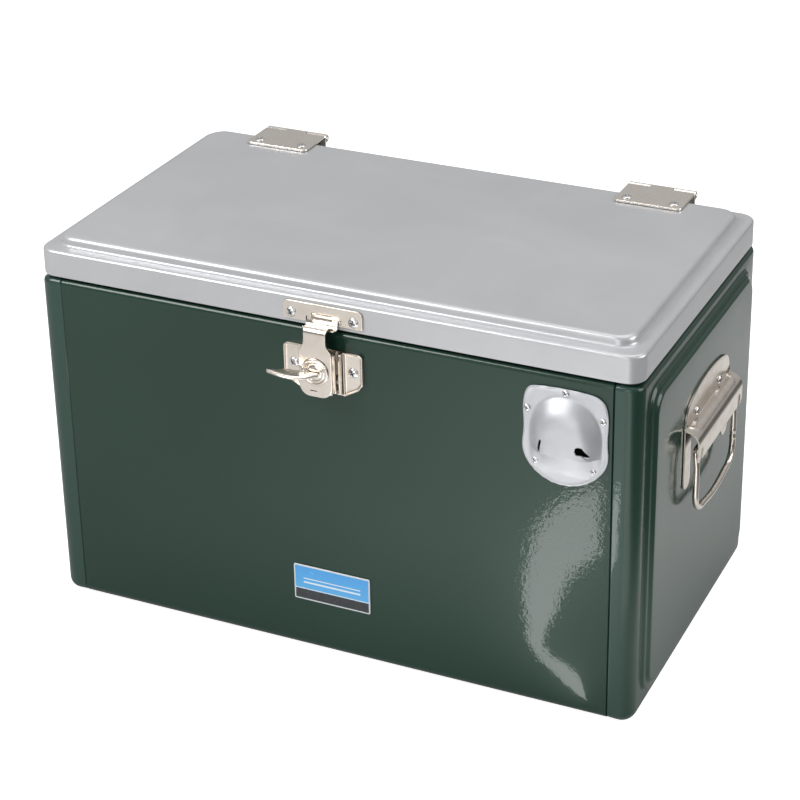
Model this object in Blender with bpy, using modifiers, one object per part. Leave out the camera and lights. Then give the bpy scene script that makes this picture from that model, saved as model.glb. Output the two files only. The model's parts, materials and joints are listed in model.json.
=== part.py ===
# Cooler chest: steel-clad ice chest with hinged lid, turn latch, bottle opener,
# bail handles and drain.  Metres, +Z up, -Y is the front, +X is the right end.
# Origin: centre of the underside of the body.
import math

import bmesh
import bpy
from mathutils import Matrix, Vector

for old in list(bpy.data.objects):
    bpy.data.objects.remove(old, do_unlink=True)

# ----------------------------------------------------------- shared sizes
SHEET_T = 0.0008      # sheet steel
PLATE_T = 0.0012      # keeper, latch base, claw and handle plates
GAP = 0.0003          # clearance between touching pieces
QUARTER_TURN = math.pi / 2

# Body: half length, half depth, height
BODY_X, BODY_Y, BODY_TOP = 0.2235, 0.1260, 0.2553
FRONT_Y = -BODY_Y     # front sheet plane
SEAM_X = 0.205        # wrap sheet ends here, end panels begin
END_R, BOTTOM_R, SHOULDER_R = 0.010, 0.007, 0.0035
RIM_W = 0.012         # width of the in-turned rim flange
EMBOSS = 0.0047       # raised field of the end panels
PANEL_X = BODY_X + EMBOSS

# Liner: half length, half depth, floor height
LINER_X, LINER_Y, LINER_FLOOR = 0.1975, 0.1010, 0.0200
LINER_R = 0.022
LINER_T = 0.0015
DRAFT = 0.0035        # liner walls lean in towards the floor

# Lid: half length, half depth, heights of the lower edge, outer edge and raised top
LID_X, LID_Y = 0.2230, 0.1257
LID_Z0, LID_EDGE, LID_TOP = 0.2576, 0.2771, 0.2841
LID_R = 0.012

HINGE_X, HINGE_Y, HINGE_Z = 0.1495, 0.1295, 0.2828     # hinge pin
LEAF_W, LEAF_T, KNUCKLE_R = 0.051, 0.0016, 0.0032

SPINDLE_Z = 0.231
CLAW_Y = -0.1400      # outer face of the claw
CLAW_PIN_Y, CLAW_PIN_Z = -0.1303, 0.2150

OPENER_X, OPENER_Z = 0.1731, 0.2120
OPENER_T = 0.0010

DRAIN_Z = 0.0345
DRAIN_SEAT_X = -PANEL_X - GAP

# Screw places: (x, z) on the front and back, (x, y) on the lid, (y, z) on the ends
KEEPER_SCREWS = [(-0.0230, 0.2655), (0.0230, 0.2655)]
LATCH_SCREWS = [(-0.0220, 0.2285), (0.0220, 0.2285)]
OPENER_SCREWS = {
    "top": (OPENER_X, 0.2438),
    "left": (0.1468, 0.2284),
    "right": (0.1990, 0.2284),
    "low_left": (0.1528, 0.1912),
    "low_right": (0.1926, 0.1912),
}
LEAF_SCREW_DX = (-0.0178, 0.0178)      # from the middle of a hinge leaf
LEAF_SCREW_Y, LEAF_SCREW_Z = 0.1010, 0.2400
LEAF_SCREW_X = [side * HINGE_X + dx for side in (-1, 1) for dx in LEAF_SCREW_DX]
HANDLE_SCREWS = [(-0.0250, 0.1935), (0.0250, 0.1935)]
SHANK_R, SHANK_HOLE_R = 0.0014, 0.0018

# ------------------------------------------------------------ collections
parts = bpy.data.collections.new("cooler_chest")
cutters = bpy.data.collections.new("cutters")
bpy.context.scene.collection.children.link(parts)
bpy.context.scene.collection.children.link(cutters)


# -------------------------------------------------------------- materials
def material(name, rgb, roughness, metallic=0.0, coat=0.0):
    mat = bpy.data.materials.new(name)
    mat.use_nodes = True
    bsdf = mat.node_tree.nodes["Principled BSDF"]
    bsdf.inputs["Base Color"].default_value = (*rgb, 1.0)
    bsdf.inputs["Roughness"].default_value = roughness
    bsdf.inputs["Metallic"].default_value = metallic
    bsdf.inputs["Coat Weight"].default_value = coat
    mat.diffuse_color = (*rgb, 1.0)
    return mat


def named_copy(base, name):
    mat = base.copy()
    mat.name = name
    return mat


GREEN = material("green_enamel", rgb=(0.012, 0.040, 0.026), roughness=0.12, coat=1.0)
SILVER = material("silver_paint", rgb=(0.46, 0.46, 0.47), roughness=0.32, metallic=0.55)
NICKEL = material("nickel", rgb=(0.70, 0.65, 0.58), roughness=0.16, metallic=1.0)
ZINC = material("zinc", rgb=(0.72, 0.72, 0.74), roughness=0.22, metallic=1.0)
SATIN = material("satin_steel", rgb=(0.62, 0.62, 0.65), roughness=0.30, metallic=0.9)
WHITE = material("white_liner", rgb=(0.80, 0.81, 0.80), roughness=0.40)
FOAM = material("foam", rgb=(0.74, 0.66, 0.42), roughness=0.90)
BLACK = material("black_rubber", rgb=(0.012, 0.012, 0.012), roughness=0.60)
BADGE = material("badge_blue", rgb=(0.09, 0.33, 0.72), roughness=0.25)


# ---------------------------------------------------------------- objects
def put_part(name, bm, mat, smooth=35.0):
    """Visible piece with its own copy of the material; smooth is in degrees."""
    me = bpy.data.meshes.new(name)
    bm.to_mesh(me)
    bm.free()
    ob = bpy.data.objects.new(name, me)
    parts.objects.link(ob)
    me.materials.append(named_copy(mat, name))
    me.shade_smooth()
    me.set_sharp_from_angle(angle=math.radians(smooth))
    return ob


def put_cutter(name, bm):
    """Hidden solid used by boolean modifiers."""
    me = bpy.data.meshes.new(name)
    bm.to_mesh(me)
    bm.free()
    ob = bpy.data.objects.new(name, me)
    cutters.objects.link(ob)
    ob.hide_render = True
    ob.display_type = "WIRE"
    return ob


def modifier(ob, kind, **values):
    mod = ob.modifiers.new(kind.lower(), kind)
    for key, value in values.items():
        setattr(mod, key, value)


def cut(ob, *tools, operation="DIFFERENCE"):
    for tool in tools:
        modifier(ob, "BOOLEAN", operation=operation, object=tool, solver="EXACT")


def thicken(ob):
    """Give an open sheet its steel thickness, inwards."""
    modifier(ob, "SOLIDIFY", thickness=SHEET_T, offset=-1.0, use_even_offset=True)


def freeze(ob):
    """Turn the evaluated shape into plain mesh data."""
    bpy.context.view_layer.update()
    graph = bpy.context.evaluated_depsgraph_get()
    me = bpy.data.meshes.new_from_object(ob.evaluated_get(graph))
    ob.modifiers.clear()
    ob.data = me


def combine(ob, solids, operation="DIFFERENCE"):
    """Apply a boolean with each solid in turn and keep the result as plain mesh."""
    tools = [put_cutter("tool", bm) for bm in solids]
    cut(ob, *tools, operation=operation)
    freeze(ob)
    for tool in tools:
        bpy.data.objects.remove(tool, do_unlink=True)


def copy_of(ob, name, location=(0, 0, 0), rotation=(0, 0, 0)):
    """Second object on the same mesh, with its own material."""
    twin = bpy.data.objects.new(name, ob.data)
    parts.objects.link(twin)
    twin.location = location
    twin.rotation_euler = rotation
    twin.material_slots[0].link = "OBJECT"
    twin.material_slots[0].material = named_copy(ob.data.materials[0], name)


# ---------------------------------------------------- outlines and frames
def arc(centre_a, centre_b, radius, start, end, steps):
    """Points along an arc, angles in degrees."""
    points = []
    for k in range(steps + 1):
        angle = math.radians(start + (end - start) * k / steps)
        points.append((centre_a + radius * math.cos(angle), centre_b + radius * math.sin(angle)))
    return points


def rounded_rect(a0, a1, b0, b1, radius, steps=4, top_radius=None):
    """Counter-clockwise from the low-a low-b corner."""
    top = radius if top_radius is None else top_radius
    return (arc(a0 + radius, b0 + radius, radius, 180, 270, steps)
            + arc(a1 - radius, b0 + radius, radius, 270, 360, steps)
            + arc(a1 - top, b1 - top, top, 0, 90, steps)
            + arc(a0 + top, b1 - top, top, 90, 180, steps))


def circle(a, b, radius, steps=8):
    points = []
    for k in range(steps):
        angle = 2 * math.pi * (k + 0.5) / steps
        points.append((a + radius * math.cos(angle), b + radius * math.sin(angle)))
    return points


def with_mirror(half, middle=()):
    """Half outline, middle points, then the half mirrored in its first coordinate."""
    return half + list(middle) + [(-a, b) for a, b in reversed(half)]


def thick_path(points, thickness):
    """Closed outline of a bent strip whose middle line is given."""
    left, right = [], []
    for i, point in enumerate(points):
        here = Vector(point)
        before = Vector(points[max(i - 1, 0)])
        after = Vector(points[min(i + 1, len(points) - 1)])
        leaving = (after - here).normalized()
        arriving = (here - before).normalized() if i > 0 else leaving
        if i == len(points) - 1:
            leaving = arriving
        normal_in = Vector((-arriving.y, arriving.x))
        normal_out = Vector((-leaving.y, leaving.x))
        mitre = (normal_in + normal_out).normalized()
        mitre = mitre * (thickness / 2 / max(mitre.dot(normal_in), 0.5))
        left.append(tuple(here + mitre))
        right.append(tuple(here - mitre))
    return left + right[::-1]


def front_frame(y):
    """Local x, y, z become world x, z and -y (outward at the front)."""
    return Matrix.Translation((0, y, 0)) @ Matrix.Rotation(math.radians(90), 4, "X")


def side_frame(x):
    """Local x, y, z become world y, z and x (outward at the right end)."""
    return Matrix(((0, 0, 1, x), (1, 0, 0, 0), (0, 1, 0, 0), (0, 0, 0, 1)))


def plan_loop(half_x, half_y, radius, z, steps=4):
    """Level rounded rectangle centred on the Z axis."""
    return [(x, y, z) for x, y in rounded_rect(-half_x, half_x, -half_y, half_y, radius, steps)]


def liner_loop(grow, z, draft=0.0):
    """Level outline of the liner's inner wall, grown outwards."""
    return plan_loop(LINER_X + grow - draft, LINER_Y + grow - draft, LINER_R + grow, z)


def lid_loop(inset_x, inset_front, inset_back, z, radius):
    outline = rounded_rect(-LID_X + inset_x, LID_X - inset_x,
                           -LID_Y + inset_front, LID_Y - inset_back, radius)
    return [(x, y, z) for x, y in outline]


# ----------------------------------------------------------------- solids
def skin(loops, first=True, ring=False):
    """Surface through a row of like loops; ring joins the last to the first."""
    bm = bmesh.new()
    rows = [[bm.verts.new(p) for p in loop] for loop in loops]
    count = len(rows[0])
    pairs = list(zip(rows, rows[1:]))
    if ring:
        pairs.append((rows[-1], rows[0]))
    for low, high in pairs:
        for i in range(count):
            j = (i + 1) % count
            bm.faces.new((low[i], low[j], high[j], high[i]))
    if first and not ring:
        bm.faces.new(list(reversed(rows[0])))
    if not ring:
        bm.faces.new(rows[-1])
    bmesh.ops.recalc_face_normals(bm, faces=bm.faces)
    return bm


def face_away(bm, centre):
    """Open sheet: make its normals point away from centre."""
    total = sum((f.normal.dot(f.calc_center_median() - Vector(centre)) * f.calc_area()
                 for f in bm.faces), 0.0)
    if total < 0:
        bmesh.ops.reverse_faces(bm, faces=bm.faces)
    return bm


def box(x_range, y_range, z_range):
    ranges = (x_range, y_range, z_range)
    bm = bmesh.new()
    bmesh.ops.create_cube(bm, size=1.0)
    bmesh.ops.scale(bm, vec=[high - low for low, high in ranges], verts=bm.verts)
    bmesh.ops.translate(bm, vec=[(low + high) / 2 for low, high in ranges], verts=bm.verts)
    return bm


def cylinder(radius, start, end, segments=12, bm=None):
    """Cylinder between two points, added to bm if one is given."""
    bm = bmesh.new() if bm is None else bm
    a, b = Vector(start), Vector(end)
    turn = (b - a).to_track_quat("Z", "Y").to_matrix().to_4x4()
    bmesh.ops.create_cone(bm, cap_ends=True, segments=segments, radius1=radius,
                          radius2=radius, depth=(b - a).length,
                          matrix=Matrix.Translation((a + b) / 2) @ turn)
    return bm


def curve_solid(loops, **settings):
    """Mesh of a curve with the given settings through closed polylines."""
    data = bpy.data.curves.new("outline", "CURVE")
    for key, value in settings.items():
        setattr(data, key, value)
    data.resolution_u = 1
    data.render_resolution_u = 0
    for points in loops:
        spline = data.splines.new("POLY")
        spline.points.add(len(points) - 1)
        for point, place in zip(spline.points, points):
            point.co = (*place, 1.0)
        spline.use_cyclic_u = True
    guide = bpy.data.objects.new("outline", data)
    parts.objects.link(guide)
    bpy.context.view_layer.update()
    graph = bpy.context.evaluated_depsgraph_get()
    me = bpy.data.meshes.new_from_object(guide.evaluated_get(graph))
    bm = bmesh.new()
    bm.from_mesh(me)
    bpy.data.objects.remove(guide, do_unlink=True)
    bpy.data.curves.remove(data)
    bpy.data.meshes.remove(me)
    bmesh.ops.remove_doubles(bm, verts=bm.verts, dist=1e-6)
    return bm


def prism(outline, thickness, frame, holes=()):
    """Flat outline with holes, given a thickness; frame maps local to world."""
    loops = [[(a, b, 0.0) for a, b in points] for points in (outline, *holes)]
    bm = curve_solid(loops, dimensions="2D", fill_mode="BOTH", extrude=thickness / 2)
    bmesh.ops.translate(bm, vec=(0, 0, thickness / 2), verts=bm.verts)
    bmesh.ops.transform(bm, matrix=frame, verts=bm.verts)
    bmesh.ops.recalc_face_normals(bm, faces=bm.faces)
    return bm


def bent_strip(points, thickness, width):
    """Strip bent along a (y, z) middle line, width centred on x = 0."""
    return prism(thick_path(points, thickness), width, side_frame(-width / 2))


def turned(name, profile, mat, steps, smooth=35.0):
    """Profile of (radius, z) turned about Z; a profile clear of the axis is closed."""
    bm = bmesh.new()
    verts = [bm.verts.new((radius, 0, z)) for radius, z in profile]
    for a, b in zip(verts, verts[1:]):
        bm.edges.new((a, b))
    if profile[0][0] > 0:
        bm.edges.new((verts[-1], verts[0]))
    ob = put_part(name, bm, mat, smooth)
    modifier(ob, "SCREW", angle=math.radians(360), steps=steps, render_steps=steps,
             use_merge_vertices=True, merge_threshold=0.00001, axis="Z")
    freeze(ob)
    return ob


# ---------------------------------------------------------- shared cutters
def hole_cutter(name, segments):
    """Screw holes, one for each (start, end) pair."""
    bm = bmesh.new()
    for start, end in segments:
        cylinder(SHANK_HOLE_R, start, end, 8, bm)
    return put_cutter(name, bm)


front_holes = hole_cutter("front_holes", [((x, -0.1285, z), (x, -0.1170, z))
                                          for x, z in LATCH_SCREWS + list(OPENER_SCREWS.values())])
back_holes = hole_cutter("back_holes", [((x, 0.1285, LEAF_SCREW_Z), (x, 0.1170, LEAF_SCREW_Z))
                                        for x in LEAF_SCREW_X])
lid_front_holes = hole_cutter("lid_front_holes", [((x, -0.1270, z), (x, -0.1150, z))
                                                  for x, z in KEEPER_SCREWS])
lid_top_holes = hole_cutter("lid_top_holes", [((x, LEAF_SCREW_Y, 0.2850), (x, LEAF_SCREW_Y, 0.2740))
                                              for x in LEAF_SCREW_X])
side_holes = hole_cutter("side_holes", [((side * 0.2295, y, z), (side * 0.2135, y, z))
                                        for side in (-1, 1) for y, z in HANDLE_SCREWS])
drain_hole = put_cutter("drain_hole", cylinder(0.0078, (-0.2400, 0, DRAIN_Z),
                                               (-0.1900, 0, DRAIN_Z), 16))
opening_cut = put_cutter("opening_cut", skin([
    plan_loop(BODY_X - RIM_W, BODY_Y - RIM_W, 0.010, z, steps=3) for z in (0.2420, 0.2700)]))


# ------------------------------------------------------------------- body
def body_wrap():
    """One sheet bent up the front, under the bottom and up the back."""
    half = [(FRONT_Y + RIM_W, BODY_TOP)]
    for degrees in (0, 30, 60, 90):
        angle = math.radians(degrees)
        half.append((FRONT_Y + SHOULDER_R - SHOULDER_R * math.sin(angle),
                     BODY_TOP - SHOULDER_R + SHOULDER_R * math.cos(angle)))
    for degrees in (0, 22.5, 45, 67.5, 90):
        angle = math.radians(degrees)
        half.append((FRONT_Y + BOTTOM_R - BOTTOM_R * math.cos(angle),
                     BOTTOM_R - BOTTOM_R * math.sin(angle)))
    profile = with_mirror(half)
    bm = bmesh.new()
    left = [bm.verts.new((-SEAM_X, y, z)) for y, z in profile]
    right = [bm.verts.new((SEAM_X, y, z)) for y, z in profile]
    for i in range(len(profile) - 1):
        bm.faces.new((left[i], left[i + 1], right[i + 1], right[i]))
    bmesh.ops.recalc_face_normals(bm, faces=bm.faces)
    face_away(bm, (0, 0, BODY_TOP / 2))
    wrap = put_part("body_wrap", bm, GREEN)
    thicken(wrap)
    cut(wrap, front_holes, back_holes)


def end_panel_loops(side):
    """Pressed cap from its tucked-under flange out to the raised field."""
    under = SHEET_T + GAP + 0.0001
    # x, side inset, bottom inset, top inset, bottom radius, top radius
    rows = [(x, inset, inset, inset, BOTTOM_R - inset, SHOULDER_R - inset)
            for x, inset in ((0.1955, under), (SEAM_X + 0.0003, under),
                             (SEAM_X + 0.0013, 0.0003), (BODY_X - END_R, 0.0))]
    for degrees in (22.5, 45, 67.5, 90):
        out = math.sin(math.radians(degrees))
        inward = 1 - math.cos(math.radians(degrees))
        rows.append((BODY_X - END_R + END_R * out,
                     END_R * inward, BOTTOM_R * inward, SHOULDER_R * inward,
                     BOTTOM_R - 0.004 * inward, SHOULDER_R - 0.0015 * inward))
    outlines = [(x, rounded_rect(-BODY_Y + in_y, BODY_Y - in_y, in_bottom, BODY_TOP - in_top,
                                 bottom_r, 4, top_r))
                for x, in_y, in_bottom, in_top, bottom_r, top_r in rows]
    # Raised field: inset from its foot, rise
    for step, rise in ((0.0, 0.0), (0.0022, 0.0009), (0.0058, 0.0038), (0.0080, EMBOSS)):
        outlines.append((BODY_X + rise, rounded_rect(-0.1112 + step, 0.1112 - step,
                                                     0.0105 + step, 0.2473 - step,
                                                     0.019 - 0.6 * step)))
    return [[(side * x, y, z) for y, z in outline] for x, outline in outlines]


def end_panels():
    for name, side, extra_hole in (("end_panel_right", 1, front_holes),
                                   ("end_panel_left", -1, drain_hole)):
        bm = skin(end_panel_loops(side), first=False)
        panel = put_part(name, face_away(bm, (side * 0.1, 0, BODY_TOP / 2)), GREEN)
        thicken(panel)
        cut(panel, opening_cut, side_holes, extra_hole)


def body_insulation():
    # Outer skin: half x, half y, corner radius, z
    outer = [(0.2160, 0.1175, 0.005, 0.0024),
             (0.2205, 0.1218, 0.008, 0.0044),
             (0.2221, 0.1236, 0.009, 0.0090),
             (0.2221, 0.1236, 0.009, 0.2485),
             (0.2183, 0.1209, 0.007, 0.2529)]
    grow = LINER_T + GAP
    cavity = [liner_loop(grow, 0.2529),
              liner_loop(grow, 0.0232, DRAFT),
              liner_loop(grow - 0.0042, LINER_FLOOR - LINER_T - GAP, DRAFT)]
    foam = put_part("body_insulation", skin([plan_loop(*row) for row in outer] + cavity), FOAM)
    cut(foam, front_holes, back_holes, side_holes, drain_hole)


def inner_liner():
    """Tub with an outward flange around its mouth."""
    flange_w, flange_z0, flange_z1 = 0.0115, 0.2571, 0.2586
    floor_inset = 0.0042
    loops = [liner_loop(LINER_T - floor_inset, LINER_FLOOR - LINER_T, DRAFT),
             liner_loop(LINER_T, 0.0235, DRAFT),
             liner_loop(LINER_T, flange_z0),
             liner_loop(flange_w, flange_z0),
             liner_loop(flange_w, flange_z1),
             liner_loop(0.0, flange_z1),
             liner_loop(0.0, 0.0243, DRAFT),
             liner_loop(-floor_inset, LINER_FLOOR, DRAFT)]
    liner = put_part("inner_liner", skin(loops), WHITE)
    cut(liner, drain_hole)


def rim_trim():
    """Dark frame between the steel rim and the liner flange."""
    z0, z1 = 0.2556, 0.2567
    loops = [plan_loop(0.2200, 0.1225, 0.0070, z0),
             plan_loop(0.2200, 0.1225, 0.0070, z1),
             liner_loop(LINER_T + GAP, z1),
             liner_loop(LINER_T + GAP, z0)]
    put_part("rim_trim", skin(loops, ring=True), BLACK)


# -------------------------------------------------------------------- lid
# Lid stations: side inset, front inset, back inset, z, corner radius
LID_SHELL_STATIONS = [
    (0.0, 0.0, 0.0, LID_Z0, LID_R),
    (0.0, 0.0, 0.0, LID_EDGE - 0.0025, LID_R),
    (0.0007, 0.0007, 0.0007, LID_EDGE - 0.0007, LID_R - 0.0007),
    (0.0025, 0.0025, 0.0025, LID_EDGE, LID_R - 0.002),
    (0.0085, 0.0088, 0.0108, LID_EDGE + 0.0004, LID_R),
    (0.0096, 0.0099, 0.0119, LID_EDGE + 0.0014, LID_R),
    (0.0101, 0.0104, 0.0124, LID_TOP - 0.0030, LID_R),
    (0.0113, 0.0116, 0.0136, LID_TOP - 0.0008, LID_R - 0.001),
    (0.0138, 0.0141, 0.0161, LID_TOP, LID_R - 0.003),
]
LID_FOAM_STATIONS = [
    (0.0014, 0.0014, 0.0014, 0.2635, 0.0105),
    (0.0014, 0.0014, 0.0014, 0.2738, 0.0105),
    (0.0112, 0.0115, 0.0135, 0.2755, 0.0105),
    (0.0118, 0.0121, 0.0141, 0.2805, 0.0105),
    (0.0150, 0.0153, 0.0173, 0.2829, 0.0085),
]


def lid_shell():
    bm = skin([lid_loop(*row) for row in LID_SHELL_STATIONS], first=False)
    shell = put_part("lid_shell", face_away(bm, (0, 0, 0.2)), SILVER)
    thicken(shell)
    cut(shell, lid_front_holes, lid_top_holes)


def lid_insulation():
    foam = put_part("lid_insulation", skin([lid_loop(*row) for row in LID_FOAM_STATIONS]), FOAM)
    cut(foam, lid_front_holes, lid_top_holes)


def lid_pan():
    """Closes the underside of the lid, with a step around the mouth."""
    loops = [liner_loop(-0.0055, 0.2585), liner_loop(-0.0030, 0.2620)]
    loops += [lid_loop(0.0012, 0.0012, 0.0012, z, 0.0107) for z in (0.2620, 0.2632)]
    put_part("lid_pan", skin(loops), WHITE)


def lid_gasket():
    # Cross-section: distance outside the liner wall, z
    section = [(0.0040, 0.2590), (0.0100, 0.2590), (0.0106, 0.2603),
               (0.0100, 0.2617), (0.0040, 0.2617), (0.0034, 0.2603)]
    put_part("lid_gasket", skin([liner_loop(grow, z) for grow, z in section], ring=True), BLACK)


# ----------------------------------------------------------------- screws
def screws(rows, head_r, head_h, length):
    """Domed-head screws sharing one mesh; rows are (name, location, rotation)."""
    profile = [(0.0, head_h), (head_r * 0.60, head_h * 0.85), (head_r, GAP), (SHANK_R, GAP),
               (SHANK_R, -length), (0.0, -length)]
    name, location, rotation = rows[0]
    first = turned(name, profile, ZINC, steps=8, smooth=50.0)
    first.location, first.rotation_euler = location, rotation
    for name, location, rotation in rows[1:]:
        copy_of(first, name, location, rotation)


def all_screws():
    forward = (QUARTER_TURN, 0, 0)
    backward = (-QUARTER_TURN, 0, 0)
    rows = []
    for kind, y, places in (("keeper", -LID_Y - GAP - PLATE_T, KEEPER_SCREWS),
                            ("latch", FRONT_Y - GAP - PLATE_T, LATCH_SCREWS)):
        for side, (x, z) in zip(("left", "right"), places):
            rows.append(("%s_screw_%s" % (kind, side), (x, y, z), forward))
    screws(rows, head_r=0.0038, head_h=0.0019, length=0.0095)

    rows = [("opener_screw_" + tag, (x, FRONT_Y - GAP - OPENER_T, z), forward)
            for tag, (x, z) in OPENER_SCREWS.items()]
    screws(rows, head_r=0.0026, head_h=0.0014, length=0.0085)

    rows = [("hinge_lid_screw_%d" % i, (x, LEAF_SCREW_Y, LID_TOP + GAP + LEAF_T), (0, 0, 0))
            for i, x in enumerate(LEAF_SCREW_X, 1)]
    rows += [("hinge_body_screw_%d" % i, (x, BODY_Y + GAP + LEAF_T, LEAF_SCREW_Z), backward)
             for i, x in enumerate(LEAF_SCREW_X, 1)]
    screws(rows, head_r=0.0036, head_h=0.0010, length=0.0080)

    rows = [("handle_screw_%s_%d" % (name, i),
             (side * (PANEL_X + GAP + PLATE_T), y, z), (0, side * QUARTER_TURN, 0))
            for name, side in (("left", -1), ("right", 1))
            for i, (y, z) in enumerate(HANDLE_SCREWS, 1)]
    screws(rows, head_r=0.0035, head_h=0.0016, length=0.0120)


# ----------------------------------------------------------------- hinges
ROLL_R = KNUCKLE_R - LEAF_T / 2        # middle line of the rolled leaf
ROLL_ANGLES = [math.radians(degrees) for degrees in range(0, 301, 30)]
KNUCKLE_CLEAR = KNUCKLE_R + 0.0008     # half size of the boxes that notch the knuckles
KNUCKLE_Y = (HINGE_Y - KNUCKLE_CLEAR, HINGE_Y + KNUCKLE_CLEAR)


def place_pair(left, y=0.0, z=0.0):
    """Set the left piece at its hinge and copy it to the right one."""
    left.location = (-HINGE_X, y, z)
    copy_of(left, left.name.replace("_left", "_right"), (HINGE_X, y, z))


def hinge_lid_leaves():
    """Level along the lid, then rolled around the pin; one middle knuckle."""
    line = [(0.0930, HINGE_Z + ROLL_R)]
    line += [(HINGE_Y + ROLL_R * math.sin(a), HINGE_Z + ROLL_R * math.cos(a))
             for a in ROLL_ANGLES]
    leaf = put_part("hinge_lid_leaf_left", bent_strip(line, LEAF_T, LEAF_W), NICKEL)
    knuckle_z = (HINGE_Z - KNUCKLE_CLEAR, HINGE_Z + KNUCKLE_CLEAR)
    holes = [cylinder(SHANK_HOLE_R, (x, LEAF_SCREW_Y, 0.2800), (x, LEAF_SCREW_Y, 0.2900), 8)
             for x in LEAF_SCREW_DX]
    notches = [box(x_range, KNUCKLE_Y, knuckle_z)
               for x_range in ((-0.03, -0.0085), (0.0085, 0.03))]
    combine(leaf, holes + notches)
    place_pair(leaf)


def hinge_body_leaves():
    """Up the back, then rolled around the pin; two outer knuckles."""
    line = [(HINGE_Y - ROLL_R, 0.2290)]
    line += [(HINGE_Y - ROLL_R * math.cos(a), HINGE_Z + ROLL_R * math.sin(a))
             for a in ROLL_ANGLES]
    leaf = put_part("hinge_body_leaf_left", bent_strip(line, LEAF_T, LEAF_W), NICKEL)
    combine(leaf, [cylinder(SHANK_HOLE_R, (x, 0.12, LEAF_SCREW_Z), (x, 0.14, LEAF_SCREW_Z), 8)
                   for x in LEAF_SCREW_DX])
    combine(leaf, [box((-0.0088, 0.0088), KNUCKLE_Y,
                       (HINGE_Z - KNUCKLE_CLEAR - 0.001, HINGE_Z + KNUCKLE_CLEAR))])
    place_pair(leaf)


def hinge_pins():
    pin = put_part("hinge_pin_left", cylinder(0.00145, (-0.0262, 0, 0), (0.0262, 0, 0)), ZINC)
    place_pair(pin, HINGE_Y, HINGE_Z)


# ------------------------------------------------------------------ latch
CLAW_T = PLATE_T
CLAW_PIN_HOLE_R = 0.0011
DISC_Y = CLAW_Y - 0.0015
DISC_FACE = 0.0001     # flat face of the turn disc, out from DISC_Y
WING_T = 0.0016

# Hooked lip of the keeper, middle line: y, z
KEEPER_LIP = [(-0.12660, 0.26700), (-0.12665, 0.26250), (-0.12760, 0.25980),
              (-0.12930, 0.25810), (-0.13060, 0.25815), (-0.13400, 0.25985)]

# Latch base outline: x, z
LATCH_BASE = [(-0.0150, 0.2095), (0.0150, 0.2095), (0.0270, 0.2165), (0.0295, 0.2205),
              (0.0295, 0.2405), (0.0270, 0.2430), (-0.0270, 0.2430), (-0.0295, 0.2405),
              (-0.0295, 0.2205), (-0.0270, 0.2165)]

# Raised rim on the right half of the base, outer and inner edge: x, z
BASE_RIM_OUTER = [(0.0146, 0.2118), (0.0267, 0.2186), (0.0285, 0.2212),
                  (0.0285, 0.2402), (0.0268, 0.2420), (0.0146, 0.2420)]
BASE_RIM_INNER = [(0.0156, 0.2132), (0.0260, 0.2192), (0.0275, 0.2215),
                  (0.0275, 0.2398), (0.0264, 0.2410), (0.0156, 0.2410)]

# Side flange of the claw with its pin ear: y, z
CLAW_FLANGE = [(CLAW_Y + 0.0003, 0.2185), (CLAW_Y + 0.0016, 0.2150), (-0.1303, 0.2125),
               (-0.1287, 0.2140), (-0.1287, 0.2165), (-0.1303, 0.2182), (-0.1333, 0.2190),
               (-0.1333, 0.2425), (-0.1345, 0.2435), (CLAW_Y + 0.0003, 0.2435)]

# Turn disc with its spindle: radius, height out from DISC_Y
DISC_PROFILE = [(0.0, DISC_FACE), (0.0050, DISC_FACE), (0.0098, -0.0004), (0.0100, -0.0009),
                (0.0100, -0.0012), (0.0031, -0.0012), (0.0031, -0.0078), (0.0, -0.0078)]

# Wing outline: x, distance out from the disc face
WING = [(0.0040, 0.0005), (0.0005, 0.0055), (-0.0050, 0.0105), (-0.0100, 0.0137),
        (-0.0190, 0.0142), (-0.0255, 0.0122), (-0.0305, 0.0100), (-0.0312, 0.0090),
        (-0.0260, 0.0048), (-0.0190, 0.0022), (-0.0090, 0.0008), (0.0, 0.0004)]


def keeper():
    """Plate on the lid front with a lip for the claw to hook over."""
    plate = prism(rounded_rect(-0.0295, 0.0295, 0.2605, 0.2740, 0.0015, 3, 0.0040), PLATE_T,
                  front_frame(-LID_Y - GAP), [circle(x, z, SHANK_HOLE_R) for x, z in KEEPER_SCREWS])
    ob = put_part("keeper", plate, NICKEL)
    combine(ob, [box((-0.0121, 0.0121), (-0.1300, -0.1200), (0.2590, 0.2652))])
    combine(ob, [bent_strip(KEEPER_LIP, PLATE_T, 0.0230)], "UNION")


def latch_base():
    """Plate on the body front with two upright cheeks and two raised rims."""
    cheek_x, cheek_t = 0.0094, 0.0012
    rim_h, rim_sink = 0.0014, 0.0003
    holes = [circle(x, z, SHANK_HOLE_R + 0.0001) for x, z in LATCH_SCREWS]
    base = put_part("latch_base", prism(LATCH_BASE, PLATE_T, front_frame(FRONT_Y - GAP), holes),
                    NICKEL)
    cheeks = [box((side * cheek_x - cheek_t / 2, side * cheek_x + cheek_t / 2),
                  (-0.1325, FRONT_Y - GAP - PLATE_T / 2), (0.2250, 0.2420)) for side in (-1, 1)]
    combine(base, cheeks, "UNION")
    rims = [prism([(side * x, z) for x, z in BASE_RIM_OUTER], rim_h,
                  front_frame(FRONT_Y - GAP - PLATE_T + rim_sink),
                  [[(side * x, z) for x, z in BASE_RIM_INNER]]) for side in (-1, 1)]
    combine(base, rims, "UNION")


def latch_slider():
    slider = put_part("latch_slider",
                      box((-0.0084, 0.0084), (-0.1323, -0.1279), (0.2105, 0.2320)), ZINC)
    combine(slider, [cylinder(CLAW_PIN_HOLE_R, (-0.02, CLAW_PIN_Y, CLAW_PIN_Z),
                              (0.02, CLAW_PIN_Y, CLAW_PIN_Z))])


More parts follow.
